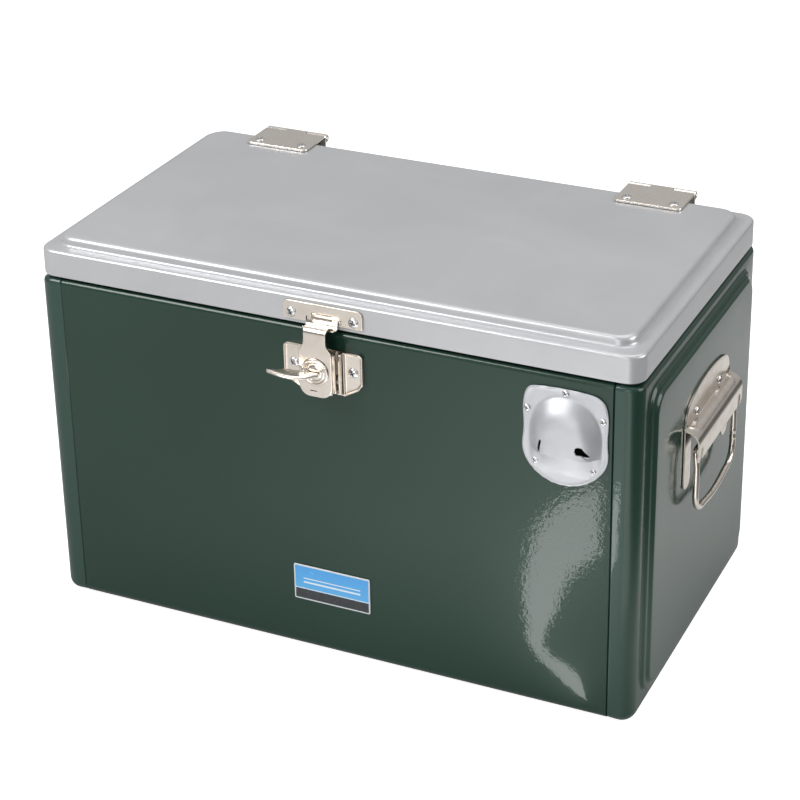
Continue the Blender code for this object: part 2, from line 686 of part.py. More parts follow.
def claw_pin():
    pin = put_part("claw_pin", cylinder(0.0010, (-0.0132, 0, 0), (0.0132, 0, 0)), ZINC)
    pin.location = (0, CLAW_PIN_Y, CLAW_PIN_Z)


def claw_outline():
    """Right half from the bottom up to the neck, then mirrored: x, z."""
    half = [(0.0045 + 0.0080 * math.sin(math.radians(a)), 0.2202 - 0.0080 * math.cos(math.radians(a)))
            for a in (0, 25, 50, 75, 90)]
    half += [(0.0125, 0.2432)]
    half += [(0.0103 + 0.0022 * math.cos(math.radians(a)), 0.2432 + 0.0046 * math.sin(math.radians(a)))
             for a in (30, 60)]
    half += [(0.0090, 0.2492), (0.0083, 0.2520), (0.00815, 0.2574)]
    return with_mirror(half)


def claw_hook():
    """Strip bent back over the top of the claw."""
    middle_y, radius, top_z = CLAW_Y + CLAW_T / 2, 0.0036, 0.2616
    line = [(middle_y, 0.2560)]
    for degrees in (0, 22.5, 45, 67.5, 90):
        angle = math.radians(degrees)
        line.append((middle_y + radius * (1 - math.cos(angle)),
                     top_z - radius + radius * math.sin(angle)))
    line += [(-0.13400, top_z), (-0.13050, 0.25985)]
    return bent_strip(line, CLAW_T - 0.0001, 0.0162)


def latch_claw():
    """Front plate, top hook and two side flanges; a small slot near the bottom."""
    front = prism(claw_outline(), CLAW_T, front_frame(CLAW_Y + CLAW_T),
                  [circle(0, SPINDLE_Z, 0.0034, 12)])
    flanges = [prism(CLAW_FLANGE, CLAW_T, side_frame(side * 0.0118 - CLAW_T / 2),
                     [circle(CLAW_PIN_Y, CLAW_PIN_Z, CLAW_PIN_HOLE_R, 12)]) for side in (-1, 1)]
    claw = put_part("latch_claw", front, NICKEL)
    combine(claw, [claw_hook()] + flanges, "UNION")
    combine(claw, [box((-0.0040, 0.0010), (CLAW_Y - 0.001, CLAW_Y + 0.003), (0.2164, 0.2172))])


def turn_disc():
    """Disc in front of the claw, its spindle running back through it."""
    disc = turned("turn_disc", DISC_PROFILE, NICKEL, steps=24)
    disc.location = (0, DISC_Y, SPINDLE_Z)
    disc.rotation_euler = (QUARTER_TURN, 0, 0)


def turn_lever():
    """Flat wing standing on the disc."""
    frame = Matrix(((1, 0, 0, 0), (0, -1, 0, DISC_Y - DISC_FACE),
                    (0, 0, -1, SPINDLE_Z + WING_T / 2), (0, 0, 0, 1)))
    put_part("turn_lever", prism(WING, WING_T, frame), NICKEL)


# ---------------------------------------------------------- bottle opener
OPENER_SIDE, OPENER_TOP, OPENER_BOTTOM = 0.0296, 0.0343, 0.0357    # reach from the centre
OPENER_TOP_POWER, OPENER_BOTTOM_POWER = 4.2, 2.35     # higher is squarer
WAIST_DEPTH, WAIST_Z, WAIST_SPREAD = 0.0011, 0.0030, 0.0070
DOME_H, DOME_HALF_W, DOME_RISE = 0.0098, 0.0220, 0.0215
DOME_MID_Z, DOME_MOUTH_Z = 0.0040, -0.0125
DOME_POWER, DOME_FALL = 2.6, 0.62     # squareness of its outline, slope of its wall
OPENER_STEPS = 28
OPENER_RINGS = (0.16, 0.33, 0.39, 0.52, 0.66, 0.78, 1.0)     # fractions of the outline


def opener_radius(angle):
    """Outline radius about the plate centre: flat top, waist, bowl bottom."""
    c, s = math.cos(angle), math.sin(angle)
    height, power = ((OPENER_TOP, OPENER_TOP_POWER) if s >= 0
                     else (OPENER_BOTTOM, OPENER_BOTTOM_POWER))
    radius = (abs(c / OPENER_SIDE) ** power + abs(s / height) ** power) ** (-1.0 / power)
    return radius - WAIST_DEPTH * math.exp(-((s * radius - WAIST_Z) / WAIST_SPREAD) ** 2)


def dome(x, z):
    """How far the pressed hood stands off the plate; it stops at its open mouth."""
    if z < DOME_MOUTH_Z:
        return 0.0
    above = max(0.0, (z - DOME_MID_Z) / DOME_RISE)
    spread = abs(x / DOME_HALF_W) ** DOME_POWER + above ** DOME_POWER
    return DOME_H * max(0.0, 1.0 - spread) ** DOME_FALL


def bottle_opener():
    bm = bmesh.new()
    centre = bm.verts.new((0, -dome(0, 0), 0))
    rows = []
    for fraction in OPENER_RINGS:
        row = []
        for k in range(OPENER_STEPS):
            angle = 2 * math.pi * k / OPENER_STEPS
            radius = opener_radius(angle) * fraction
            x, z = radius * math.cos(angle), radius * math.sin(angle)
            row.append(bm.verts.new((x, -dome(x, z), z)))
        rows.append(row)
    for k in range(OPENER_STEPS):
        bm.faces.new((centre, rows[0][k], rows[0][(k + 1) % OPENER_STEPS]))
    for low, high in zip(rows, rows[1:]):
        for k in range(OPENER_STEPS):
            j = (k + 1) % OPENER_STEPS
            bm.faces.new((low[k], low[j], high[j], high[k]))
    bmesh.ops.recalc_face_normals(bm, faces=bm.faces)
    if sum(f.normal.y * f.calc_area() for f in bm.faces) > 0:
        bmesh.ops.reverse_faces(bm, faces=bm.faces)
    bmesh.ops.translate(bm, vec=(OPENER_X, FRONT_Y - GAP - OPENER_T, OPENER_Z), verts=bm.verts)
    opener = put_part("bottle_opener", bm, SATIN)
    modifier(opener, "SOLIDIFY", thickness=OPENER_T, offset=-1.0, use_even_offset=False)
    freeze(opener)
    combine(opener, [cylinder(SHANK_HOLE_R, (x, -0.1400, z), (x, -0.1200, z), 8)
                     for x, z in OPENER_SCREWS.values()])


# ------------------------------------------------------------------ badge
def badge():
    outline = rounded_rect(-0.0292, 0.0300, 0.0405, 0.0687, 0.0012, 3)
    put_part("badge", prism(outline, 0.0008, front_frame(FRONT_Y - GAP)), BADGE)


# ---------------------------------------------------------------- handles
HOOD_HALF_W = 0.0485
NOTCH_Y, NOTCH_HALF_W = 0.0420, 0.0032      # notches over the ends of the bail
TAB_INNER_Y = 0.0355
BAIL_R = 0.0022
BAIL_OFF, BAIL_Z = 0.0068, 0.1718           # bail pivot: off the panel, height
BAIL_LEAN, BAIL_LEAN_DROP = 0.0012, 0.012   # outward shift, drop over which it is reached

# Arched edge of the handle plate, from its lower end to near the middle: y, z
ARCH_HALF = [(0.0500, 0.1550), (0.0490, 0.1900), (0.0478, 0.1962), (0.0455, 0.2012),
             (0.0415, 0.2048), (0.0330, 0.2078), (0.0220, 0.2100), (0.0110, 0.2112)]


def hood_line():
    """Middle line of the plate in (x, z): flat top, round hood, upright front."""
    middle = GAP + PLATE_T / 2
    line = [(middle, 0.2130), (middle, 0.1889)]
    line += [(middle + 0.0100 * math.sin(math.radians(a)), 0.1795 + 0.0090 * math.cos(math.radians(a)))
             for a in (15, 30, 45, 60, 75, 90)]
    line += [(middle + 0.0099, 0.1730), (middle + 0.0096, 0.1660)]
    return [(PANEL_X + off, z) for off, z in line]


def handle_plates():
    """Hood trimmed to an arch, with a flat tab hanging at each end."""
    # Local x, y, z become world x, z and -y, starting at the back end of the hood.
    frame = Matrix(((1, 0, 0, 0), (0, 0, -1, HOOD_HALF_W), (0, 1, 0, 0), (0, 0, 0, 1)))
    plate = put_part("handle_plate_right",
                     prism(thick_path(hood_line(), PLATE_T), 2 * HOOD_HALF_W, frame), NICKEL)
    arch = with_mirror(ARCH_HALF, middle=[(0.0, 0.2116)])
    combine(plate, [prism(arch, 0.030, side_frame(PANEL_X - 0.005))], "INTERSECT")
    combine(plate, [box((PANEL_X + 0.0035, PANEL_X + 0.0200),
                        (side * NOTCH_Y - NOTCH_HALF_W, side * NOTCH_Y + NOTCH_HALF_W),
                        (0.1600, 0.1762)) for side in (-1, 1)])
    combine(plate, [cylinder(SHANK_HOLE_R, (0.22, y, z), (0.24, y, z), 8)
                    for y, z in HANDLE_SCREWS])
    for y0, y1 in ((-HOOD_HALF_W, -TAB_INNER_Y), (TAB_INNER_Y, HOOD_HALF_W)):
        tab = rounded_rect(y0, y1, 0.1420, 0.1901, 0.0060, 4, 0.0005)
        combine(plate, [prism(tab, PLATE_T, side_frame(PANEL_X + GAP))], "UNION")
    copy_of(plate, "handle_plate_left", rotation=(0, 0, math.pi))


def bail_path():
    """Closed path in (y, z) about the pivot, with a slightly bowed lower bar."""
    return (arc(0.0380, -0.0040, 0.0040, 90, 0, 3)
            + arc(0.0280, -0.0345, 0.0140, 0, -90, 5)
            + [(0.0150, -0.0508), (0.0, -0.0516), (-0.0150, -0.0508)]
            + arc(-0.0280, -0.0345, 0.0140, 270, 180, 5)
            + arc(-0.0380, -0.0040, 0.0040, 180, 90, 3))


def bails():
    """Wire loops whose top bars lie inside the hoods."""
    path = [(BAIL_LEAN * min(1.0, max(0.0, -z / BAIL_LEAN_DROP)), y, z) for y, z in bail_path()]
    bm = curve_solid([path], dimensions="3D", bevel_depth=BAIL_R, bevel_resolution=1)
    bmesh.ops.recalc_face_normals(bm, faces=bm.faces)
    bail = put_part("bail_right", bm, NICKEL, smooth=60.0)
    bail.location = (PANEL_X + BAIL_OFF, 0, BAIL_Z)
    copy_of(bail, "bail_left", (-PANEL_X - BAIL_OFF, 0, BAIL_Z), (0, 0, math.pi))


# ------------------------------------------------------------------ drain
# Profiles: radius, height out from the piece's origin
WASHER_PROFILE = [(0.0125, 0.0010), (0.0125, 0.0), (0.0080, 0.0), (0.0080, 0.0010)]
FITTING_PROFILE = [(0.0130, 0.0033), (0.0130, 0.0013), (0.0075, 0.0013), (0.0075, -0.0400),
                   (0.0055, -0.0400), (0.0055, 0.0033)]
NUT_PROFILE = [(0.0100, 0.0045), (0.0100, 0.0), (0.0079, 0.0), (0.0079, 0.0045)]
PLUG_PROFILE = [(0.0, 0.0072), (0.0070, 0.0072), (0.0088, 0.0060), (0.0088, 0.0036),
                (0.0051, 0.0036), (0.0048, -0.0120), (0.0, -0.0120)]
NUT_X = -0.1888


def drain_piece(name, profile, mat, x=DRAIN_SEAT_X, steps=16):
    """Turned ring or plug laid along -X."""
    ob = turned(name, profile, mat, steps)
    bm = bmesh.new()
    bm.from_mesh(ob.data)
    bmesh.ops.recalc_face_normals(bm, faces=bm.faces)
    bm.to_mesh(ob.data)
    bm.free()
    ob.location = (x, 0, DRAIN_Z)
    ob.rotation_euler = (0, -QUARTER_TURN, 0)


def drain():
    drain_piece("drain_washer", WASHER_PROFILE, BLACK)
    drain_piece("drain_fitting", FITTING_PROFILE, WHITE)
    drain_piece("drain_nut", NUT_PROFILE, WHITE, x=NUT_X, steps=12)
    drain_piece("drain_plug", PLUG_PROFILE, BLACK)


# ------------------------------------------------------------------ build
for build in (body_wrap, end_panels, body_insulation, inner_liner, rim_trim,
              lid_shell, lid_insulation, lid_pan, lid_gasket, all_screws,
              hinge_lid_leaves, hinge_body_leaves, hinge_pins,
              keeper, latch_base, latch_slider, claw_pin, latch_claw, turn_disc, turn_lever,
              bottle_opener, badge, handle_plates, bails, drain):
    build()
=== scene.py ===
"""Looks of the cooler chest: fine sheet-metal skins, latch, opener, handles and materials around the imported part."""
import json
import math

import bmesh
import bpy
from mathutils import Matrix, Vector, noise

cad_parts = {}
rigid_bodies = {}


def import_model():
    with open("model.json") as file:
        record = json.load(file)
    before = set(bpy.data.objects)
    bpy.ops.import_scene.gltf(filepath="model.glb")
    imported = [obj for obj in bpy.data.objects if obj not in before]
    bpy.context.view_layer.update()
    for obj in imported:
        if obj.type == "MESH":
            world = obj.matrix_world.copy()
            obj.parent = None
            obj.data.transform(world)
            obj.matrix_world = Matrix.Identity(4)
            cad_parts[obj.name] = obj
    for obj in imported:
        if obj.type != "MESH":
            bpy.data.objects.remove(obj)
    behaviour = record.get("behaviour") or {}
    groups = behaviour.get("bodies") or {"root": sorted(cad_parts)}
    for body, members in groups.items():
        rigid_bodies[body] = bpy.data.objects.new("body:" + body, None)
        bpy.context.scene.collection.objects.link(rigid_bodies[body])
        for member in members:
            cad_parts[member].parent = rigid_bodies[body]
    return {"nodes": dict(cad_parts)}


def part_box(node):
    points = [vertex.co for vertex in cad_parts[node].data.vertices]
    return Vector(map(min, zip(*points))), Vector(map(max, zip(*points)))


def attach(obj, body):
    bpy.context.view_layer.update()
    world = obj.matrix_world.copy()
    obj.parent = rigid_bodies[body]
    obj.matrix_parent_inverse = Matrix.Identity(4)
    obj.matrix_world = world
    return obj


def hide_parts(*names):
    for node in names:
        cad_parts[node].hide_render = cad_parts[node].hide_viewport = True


for stale in list(bpy.data.objects):
    bpy.data.objects.remove(stale, do_unlink=True)

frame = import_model()
bpy.context.view_layer.update()
COLL = bpy.context.scene.collection
HALF = math.pi / 2
TAU = 2 * math.pi


# =================================================================== maths
def rad(a):
    return math.radians(a)


def lerp(a, b, t):
    return a + (b - a) * t


def smooth(t):
    t = max(0.0, min(1.0, t))
    return t * t * (3 - 2 * t)


def ramp(x, a, b):
    """0 at a, 1 at b, eased."""
    return smooth((x - a) / (b - a))


def arc(cx, cy, r, a0, a1, n):
    return [(cx + r * math.cos(rad(lerp(a0, a1, k / n))), cy + r * math.sin(rad(lerp(a0, a1, k / n))))
            for k in range(n + 1)]


def rrect(a0, a1, b0, b1, r, n=10, r_top=None):
    """Rounded rectangle, counter-clockwise, from the low-a low-b corner."""
    top = r if r_top is None else r_top
    pts = []
    for ca, cb, rr, start in ((a0, b0, r, 180), (a1, b0, r, 270), (a1, b1, top, 0), (a0, b1, top, 90)):
        ma = ca + rr if ca == a0 else ca - rr
        mb = cb + rr if cb == b0 else cb - rr
        pts += arc(ma, mb, rr, start, start + 90, n)
    return pts


def outline(corners, inset=0.0, n=8, r_min=0.00006):
    """Rounded polygon from (a, b, radius) corners, counter-clockwise; the count of points never changes with inset."""
    pts, m = [], len(corners)
    for i in range(m):
        a, b, c = (Vector(corners[j % m][:2]) for j in (i - 1, i, i + 1))
        d1, d2 = (b - a).normalized(), (c - b).normalized()
        n1, n2 = Vector((-d1.y, d1.x)), Vector((-d2.y, d2.x))
        turn = d1.x * d2.y - d1.y * d2.x
        side = 1.0 if turn >= 0 else -1.0
        q = b + (n1 + n2) / max(0.15, 1 + n1.dot(n2)) * inset
        r = max(corners[i][2] - side * inset, r_min)
        ang = math.acos(max(-1.0, min(1.0, d1.dot(d2))))
        t = r * math.tan(ang / 2)
        centre = q - d1 * t + n1 * r * side
        start = math.atan2(-n1.y * side, -n1.x * side)
        for k in range(n + 1):
            f = start + side * ang * k / n
            pts.append((centre.x + r * math.cos(f), centre.y + r * math.sin(f)))
    return pts


def mirror_corners(half):
    """Corners listed up the +a side from the bottom, joined with their mirror image."""
    return list(half) + [(-a, b, r) for a, b, r in reversed(half)]


def spline(points, per=8, closed=False):
    """Catmull-Rom curve (centripetal enough for even spacing) through 2D or 3D points."""
    pts = [Vector(p) for p in points]
    m, out = len(pts), []
    spans = m if closed else m - 1
    for i in range(spans):
        p0 = pts[(i - 1) % m] if closed or i > 0 else pts[0] * 2 - pts[1]
        p1, p2 = pts[i], pts[(i + 1) % m]
        p3 = pts[(i + 2) % m] if closed or i + 2 < m else pts[-1] * 2 - pts[-2]
        for k in range(per):
            t = k / per
            out.append(0.5 * ((2 * p1) + (p2 - p0) * t + (2 * p0 - 5 * p1 + 4 * p2 - p3) * t * t
                              + (3 * p1 - p0 - 3 * p2 + p3) * t ** 3))
    if not closed:
        out.append(pts[-1])
    return out


def resample(points, count, closed=False):
    """Evenly spaced points along a polyline."""
    pts = [Vector(p) for p in points]
    if closed:
        pts.append(pts[0].copy())
    run = [0.0]
    for a, b in zip(pts, pts[1:]):
        run.append(run[-1] + (b - a).length)
    out, j = [], 0
    spans = count if closed else count - 1
    for i in range(count):
        s = run[-1] * i / spans
        while j < len(run) - 2 and run[j + 1] < s:
            j += 1
        seg = max(run[j + 1] - run[j], 1e-12)
        out.append(pts[j].lerp(pts[j + 1], (s - run[j]) / seg))
    return out


FRONT = lambda y: Matrix(((1, 0, 0, 0), (0, 0, -1, y), (0, 1, 0, 0), (0, 0, 0, 1)))
BACK = lambda y: Matrix(((-1, 0, 0, 0), (0, 0, 1, y), (0, 1, 0, 0), (0, 0, 0, 1)))
RIGHT = lambda x: Matrix(((0, 0, 1, x), (1, 0, 0, 0), (0, 1, 0, 0), (0, 0, 0, 1)))
TOP = lambda z: Matrix(((1, 0, 0, 0), (0, 1, 0, 0), (0, 0, 1, z), (0, 0, 0, 1)))
TURN_Z = Matrix.Rotation(math.pi, 4, "Z")


# =================================================================== meshes
def loft(rows, wrap=True, caps=(True, True), ring=False):
    """Quads through rows of like points. wrap joins each row's ends, ring joins the last row to the first."""
    bm = bmesh.new()
    grid = [[bm.verts.new(Vector(p)) for p in row] for row in rows]
    n = len(grid[0])
    pairs = list(zip(grid, grid[1:])) + ([(grid[-1], grid[0])] if ring else [])
    for low, high in pairs:
        for i in range(n if wrap else n - 1):
            j = (i + 1) % n
            bm.faces.new((low[i], low[j], high[j], high[i]))
    if wrap and not ring:
        if caps[0]:
            bm.faces.new(list(reversed(grid[0])))
        if caps[1]:
            bm.faces.new(grid[-1])
    if wrap and (ring or all(caps)):
        bmesh.ops.recalc_face_normals(bm, faces=bm.faces)
    return bm


def facing(bm, away=None, direction=None):
    """Turn an open sheet so that its normals point away from a point, or along a direction."""
    bm.normal_update()
    total = 0.0
    for f in bm.faces:
        d = (f.calc_center_median() - Vector(away)) if away is not None else Vector(direction)
        total += f.normal.dot(d) * f.calc_area()
    if total < 0:
        bmesh.ops.reverse_faces(bm, faces=bm.faces)
    return bm


def lift(points, h):
    return [(a, b, h) for a, b in points]


def relief(corners, profile, place, n=8, inner=None):
    """Closed plate: loops of the rounded outline at (inset, height), capped at both ends."""
    rows = [lift(outline(corners, inset, n), h) for inset, h in profile]
    bm = loft(rows)
    bmesh.ops.transform(bm, matrix=place, verts=bm.verts)
    bmesh.ops.recalc_face_normals(bm, faces=bm.faces)
    return bm


def lathe(profile, n=48, place=Matrix.Identity(4), ring=False):
    """Profile of (radius, height) turned about Z; radius 0 closes it at the axis."""
    bm = bmesh.new()
    rows = []
    for r, z in profile:
        if r < 1e-7:
            rows.append([bm.verts.new((0, 0, z))])
        else:
            rows.append([bm.verts.new((r * math.cos(TAU * k / n), r * math.sin(TAU * k / n), z)) for k in range(n)])
    pairs = list(zip(rows, rows[1:])) + ([(rows[-1], rows[0])] if ring else [])
    for low, high in pairs:
        for i in range(n):
            j = (i + 1) % n
            if len(low) == 1:
                bm.faces.new((low[0], high[i], high[j]))
            elif len(high) == 1:
                bm.faces.new((low[i], low[j], high[0]))
            else:
                bm.faces.new((low[i], low[j], high[j], high[i]))
    bmesh.ops.transform(bm, matrix=place, verts=bm.verts)
    bmesh.ops.recalc_face_normals(bm, faces=bm.faces)
    return bm


def tube(path, radius, n=20, closed=False, squash=None):
    """Round bar along a 3D path. radius is a number or a function of the share of the length."""
    pts = [Vector(p) for p in path]
    m = len(pts)
    tangents = []
    for i in range(m):
        a = pts[(i - 1) % m] if closed or i else pts[0]
        b = pts[(i + 1) % m] if closed or i < m - 1 else pts[-1]
        tangents.append((b - a).normalized())
    ref = Vector((0, 0, 1)) if abs(tangents[0].z) < 0.9 else Vector((0, 1, 0))
    normal = tangents[0].cross(ref).normalized()
    frames = []
    for i, t in enumerate(tangents):
        if i:
            normal = (tangents[i - 1].rotation_difference(t) @ normal)
        normal = (normal - t * normal.dot(t)).normalized()
        frames.append((normal.copy(), t.cross(normal).normalized()))
    rows = []
    twist = 0.0
    if closed:
        back = tangents[-1].rotation_difference(tangents[0]) @ frames[-1][0]
        twist = math.atan2(back.dot(frames[0][1]), back.dot(frames[0][0]))
    for i, (u, v) in enumerate(frames):
        r = radius(i / (m - 1)) if callable(radius) else radius
        off = -twist * i / m
        rows.append([pts[i] + (u * math.cos(off + TAU * k / n) + v * math.sin(off + TAU * k / n)) * r
                     for k in range(n)])
    bm = loft(rows, ring=closed)
    bmesh.ops.recalc_face_normals(bm, faces=bm.faces)
    return bm


def bar(points, width, thickness, place, edge=0.00012, n_edge=2):
    """Bent strip: points are its middle line in the plane, width runs across it, the long edges are eased."""
    pts = [Vector(p) for p in points]
    m = len(pts)
    normals = []
    for i in range(m):
        a, b = pts[max(i - 1, 0)], pts[min(i + 1, m - 1)]
        t = (b - a).normalized()
        normals.append(Vector((-t.y, t.x)))
    rows = []
    for i, (p, nn) in enumerate(zip(pts, normals)):
        w = (width(i / (m - 1)) if callable(width) else width) / 2
        t = thickness / 2
        e = edge
        ends = 0.0 if 0 < i < m - 1 else 0.0
        section = [(-w + e, -t), (w - e, -t), (w, -t + e), (w, t - e), (w - e, t), (-w + e, t), (-w, t - e), (-w, -t + e)]
        rows.append([(p.x + nn.x * d, p.y + nn.y * d, s) for s, d in section])
    bm = loft(rows)
    bmesh.ops.transform(bm, matrix=place, verts=bm.verts)
    bmesh.ops.recalc_face_normals(bm, faces=bm.faces)
    return bm


def prism(points, h0, h1, place, edge=0.0):
    """Flat shape from outline points, lofted straight from height h0 to h1; edge is not used."""
    rows = [lift(points, h0), lift(points, h1)]
    bm = loft(rows)
    bmesh.ops.transform(bm, matrix=place, verts=bm.verts)
    bmesh.ops.recalc_face_normals(bm, faces=bm.faces)
    return bm


def bake(ob):
    """Apply every modifier, so that the mesh itself is final."""
    graph = bpy.context.evaluated_depsgraph_get()
    me = bpy.data.meshes.new_from_object(ob.evaluated_get(graph))
    ob.modifiers.clear()
    old = ob.data
    ob.data = me
    bpy.data.meshes.remove(old)
    return ob


def scratch(bm, name="scratch"):
    me = bpy.data.meshes.new(name)
    bm.to_mesh(me)
    bm.free()
    ob = bpy.data.objects.new(name, me)
    COLL.objects.link(ob)
    return ob


def boolean(ob, tools, kind):
    for bm in tools:
        tool = scratch(bm, "tool")
        mod = ob.modifiers.new("b", "BOOLEAN")
        mod.operation, mod.object, mod.solver = kind, tool, "EXACT"
        bpy.context.view_layer.update()
        bake(ob)
        bpy.data.objects.remove(tool, do_unlink=True)
    return ob


def tidy(me):
    """Merge stray doubles and drop loose bits and zero-area faces."""
    bm = bmesh.new()
    bm.from_mesh(me)
    bmesh.ops.remove_doubles(bm, verts=bm.verts, dist=2e-6)
    bmesh.ops.dissolve_degenerate(bm, dist=1e-6, edges=bm.edges)
    loose = [v for v in bm.verts if not v.link_faces]
    if loose:
        bmesh.ops.delete(bm, geom=loose, context="VERTS")
    bm.to_mesh(me)
    bm.free()


def piece(name, bm, mat, body, nodes=(), sharp=32.0, solid=None, weighted=True, add=(), cut=(), place=None,
          share=None, even=True):
    """Finish one visible piece: mesh, shading, material, the body it rides on and the CAD nodes it stands for."""
    if share is not None:
        ob = bpy.data.objects.new(name, share)
        COLL.objects.link(ob)
    else:
        me = bpy.data.meshes.new(name)
        bm.to_mesh(me)
        bm.free()
        ob = bpy.data.objects.new(name, me)
        COLL.objects.link(ob)
        if solid:
            mod = ob.modifiers.new("s", "SOLIDIFY")
            mod.thickness, mod.offset, mod.use_even_offset = solid, -1.0, even
            mod.use_quality_normals = True
            bpy.context.view_layer.update()
            bake(ob)
            shell = bmesh.new()
            shell.from_mesh(ob.data)
            bmesh.ops.remove_doubles(shell, verts=shell.verts, dist=1e-6)
            bmesh.ops.recalc_face_normals(shell, faces=shell.faces)
            shell.to_mesh(ob.data)
            shell.free()
        boolean(ob, add, "UNION")
        boolean(ob, cut, "DIFFERENCE")
        if add or cut:
            tidy(ob.data)
        ob.data.materials.clear()
        ob.data.materials.append(mat)
        ob.data.shade_smooth()
        ob.data.set_sharp_from_angle(angle=rad(sharp))
        if weighted:
            mod = ob.modifiers.new("n", "WEIGHTED_NORMAL")
            mod.keep_sharp, mod.weight, mod.mode = True, 60, "FACE_AREA"
    if place is not None:
        ob.matrix_world = place
    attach(ob, body)
    if nodes:
        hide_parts(*nodes)
    return ob


# ================================================================ materials
class Shader:
    """Small helper that strings material nodes together."""

    def __init__(self, name):
        self.mat = bpy.data.materials.new(name)
        self.mat.use_nodes = True
        self.tree = self.mat.node_tree
        self.bsdf = self.tree.nodes["Principled BSDF"]
        self.coord = self.tree.nodes.new("ShaderNodeTexCoord").outputs["Object"]

    def put(self, kind, **values):
        node = self.tree.nodes.new(kind)
        for key, value in values.items():
            if hasattr(node, key):
                setattr(node, key, value)
            else:
                self.into(value, node.inputs[key])
        return node

    def into(self, value, socket):
        if isinstance(value, bpy.types.NodeSocket):
            self.tree.links.new(value, socket)
        else:
            socket.default_value = value

    def set(self, **values):
        for key, value in values.items():
            self.into(value, self.bsdf.inputs[key.replace("_", " ")])

    def scaled(self, sx, sy, sz):
        m = self.put("ShaderNodeMapping")
        self.into(self.coord, m.inputs["Vector"])
        m.inputs["Scale"].default_value = (sx, sy, sz)
        return m.outputs["Vector"]

    def noise(self, scale, detail=2.0, rough=0.5, distortion=0.0, vector=None):
        n = self.put("ShaderNodeTexNoise")
        self.into(vector or self.coord, n.inputs["Vector"])
        for key, value in (("Scale", scale), ("Detail", detail), ("Roughness", rough), ("Distortion", distortion)):
            self.into(value, n.inputs[key])
        return n.outputs["Fac"]

    def voronoi(self, scale, vector=None, feature="F1"):
        n = self.put("ShaderNodeTexVoronoi", feature=feature)
        self.into(vector or self.coord, n.inputs["Vector"])
        n.inputs["Scale"].default_value = scale
        return n.outputs["Distance"]

    def remap(self, value, lo, hi, to_lo=0.0, to_hi=1.0, clamp=True):
        n = self.put("ShaderNodeMapRange", clamp=clamp)
        self.into(value, n.inputs["Value"])
        for key, v in (("From Min", lo), ("From Max", hi), ("To Min", to_lo), ("To Max", to_hi)):
            self.into(v, n.inputs[key])
        return n.outputs["Result"]

    def math(self, op, a, b=0.0):
        n = self.put("ShaderNodeMath", operation=op)
        self.into(a, n.inputs[0])
        self.into(b, n.inputs[1])
        return n.outputs[0]

    def mix(self, fac, a, b):
        n = self.put("ShaderNodeMix", data_type="RGBA")
        self.into(fac, n.inputs[0])
        for value, socket in ((a, n.inputs[6]), (b, n.inputs[7])):
            self.into((*value, 1.0) if isinstance(value, tuple) and len(value) == 3 else value, socket)
        return n.outputs[2]

    def bump(self, height, distance, strength=1.0, normal=None):
        n = self.put("ShaderNodeBump")
        self.into(height, n.inputs["Height"])
        n.inputs["Distance"].default_value = distance
        n.inputs["Strength"].default_value = strength
        if normal is not None:
            self.into(normal, n.inputs["Normal"])
        return n.outputs["Normal"]

    def axis(self, which, vector=None):
        n = self.put("ShaderNodeSeparateXYZ")
        self.into(vector or self.coord, n.inputs[0])
        return n.outputs[which]

    def edge(self, radius, lo=0.02, hi=0.25):
        """1 near convex edges, 0 on flats."""
        b = self.put("ShaderNodeBevel", samples=4)
        b.inputs["Radius"].default_value = radius
        g = self.put("ShaderNodeNewGeometry")
        d = self.put("ShaderNodeVectorMath", operation="DOT_PRODUCT")
        self.into(b.outputs["Normal"], d.inputs[0])
        self.into(g.outputs["Normal"], d.inputs[1])
        return self.remap(d.outputs["Value"], 1.0 - lo, 1.0 - hi)


def enamel():
    s = Shader("green_enamel")
    broad = s.noise(5.0, 2.0)
    fine = s.noise(60.0, 3.0)
    tone = s.mix(s.remap(broad, 0.35, 0.65), (0.0050, 0.0315, 0.0190), (0.0068, 0.0375, 0.0230))
    dust = s.remap(s.noise(900.0, 2.0, 0.6), 0.74, 0.80, 0.0, 0.25)
    # painted reflection: the end caps' front and back flanges, from the seam to the corner round, are painted a paler
    # green
    flange = s.math("MULTIPLY", s.remap(s.math("ABSOLUTE", s.axis("X")), 0.2052, 0.2056), s.remap(s.math("ABSOLUTE", s.axis("X")), 0.2150, 0.2195, 1.0, 0.0))
    tone = s.mix(s.math("MULTIPLY", flange, 0.55), tone, (0.030, 0.070, 0.058))
    s.set(Base_Color=s.mix(dust, tone, (0.030, 0.055, 0.045)))
    s.set(Roughness=0.42, Specular_IOR_Level=0.25, Coat_Weight=1.0, Coat_IOR=1.38)
    s.set(Coat_Roughness=s.remap(fine, 0.35, 0.70, 0.030, 0.060))
    peel = s.noise(330.0, 2.0, 0.55, 0.3)
    wave = s.noise(28.0, 1.0)
    n1 = s.bump(wave, 0.00005)
    s.set(Coat_Normal=s.bump(peel, 0.000085, 1.0, n1), Normal=n1)
    return s.mat


def silver():
    s = Shader("silver_paint")
    smudge = s.noise(9.0, 5.0, 0.62, 0.6)
    streak = s.noise(1.0, 3.0, 0.6, 0.0, s.scaled(14.0, 160.0, 160.0))
    flake = s.noise(5200.0, 1.0, 0.5)
    tone = s.mix(s.remap(smudge, 0.35, 0.68), (0.514, 0.520, 0.534), (0.553, 0.558, 0.570))
    tone = s.mix(s.remap(flake, 0.55, 0.75, 0.0, 0.22), tone, (0.70, 0.70, 0.71))
    s.set(Base_Color=tone, Metallic=0.45, Coat_Weight=0.35, Coat_Roughness=0.20)
    rough = s.math("ADD", s.remap(smudge, 0.3, 0.7, 0.30, 0.37), s.remap(streak, 0.45, 0.75, 0.0, 0.05))
    s.set(Roughness=rough)
    s.set(Normal=s.bump(s.noise(420.0, 2.0), 0.000010, 1.0, s.bump(flake, 0.0000012)))
    return s.mat


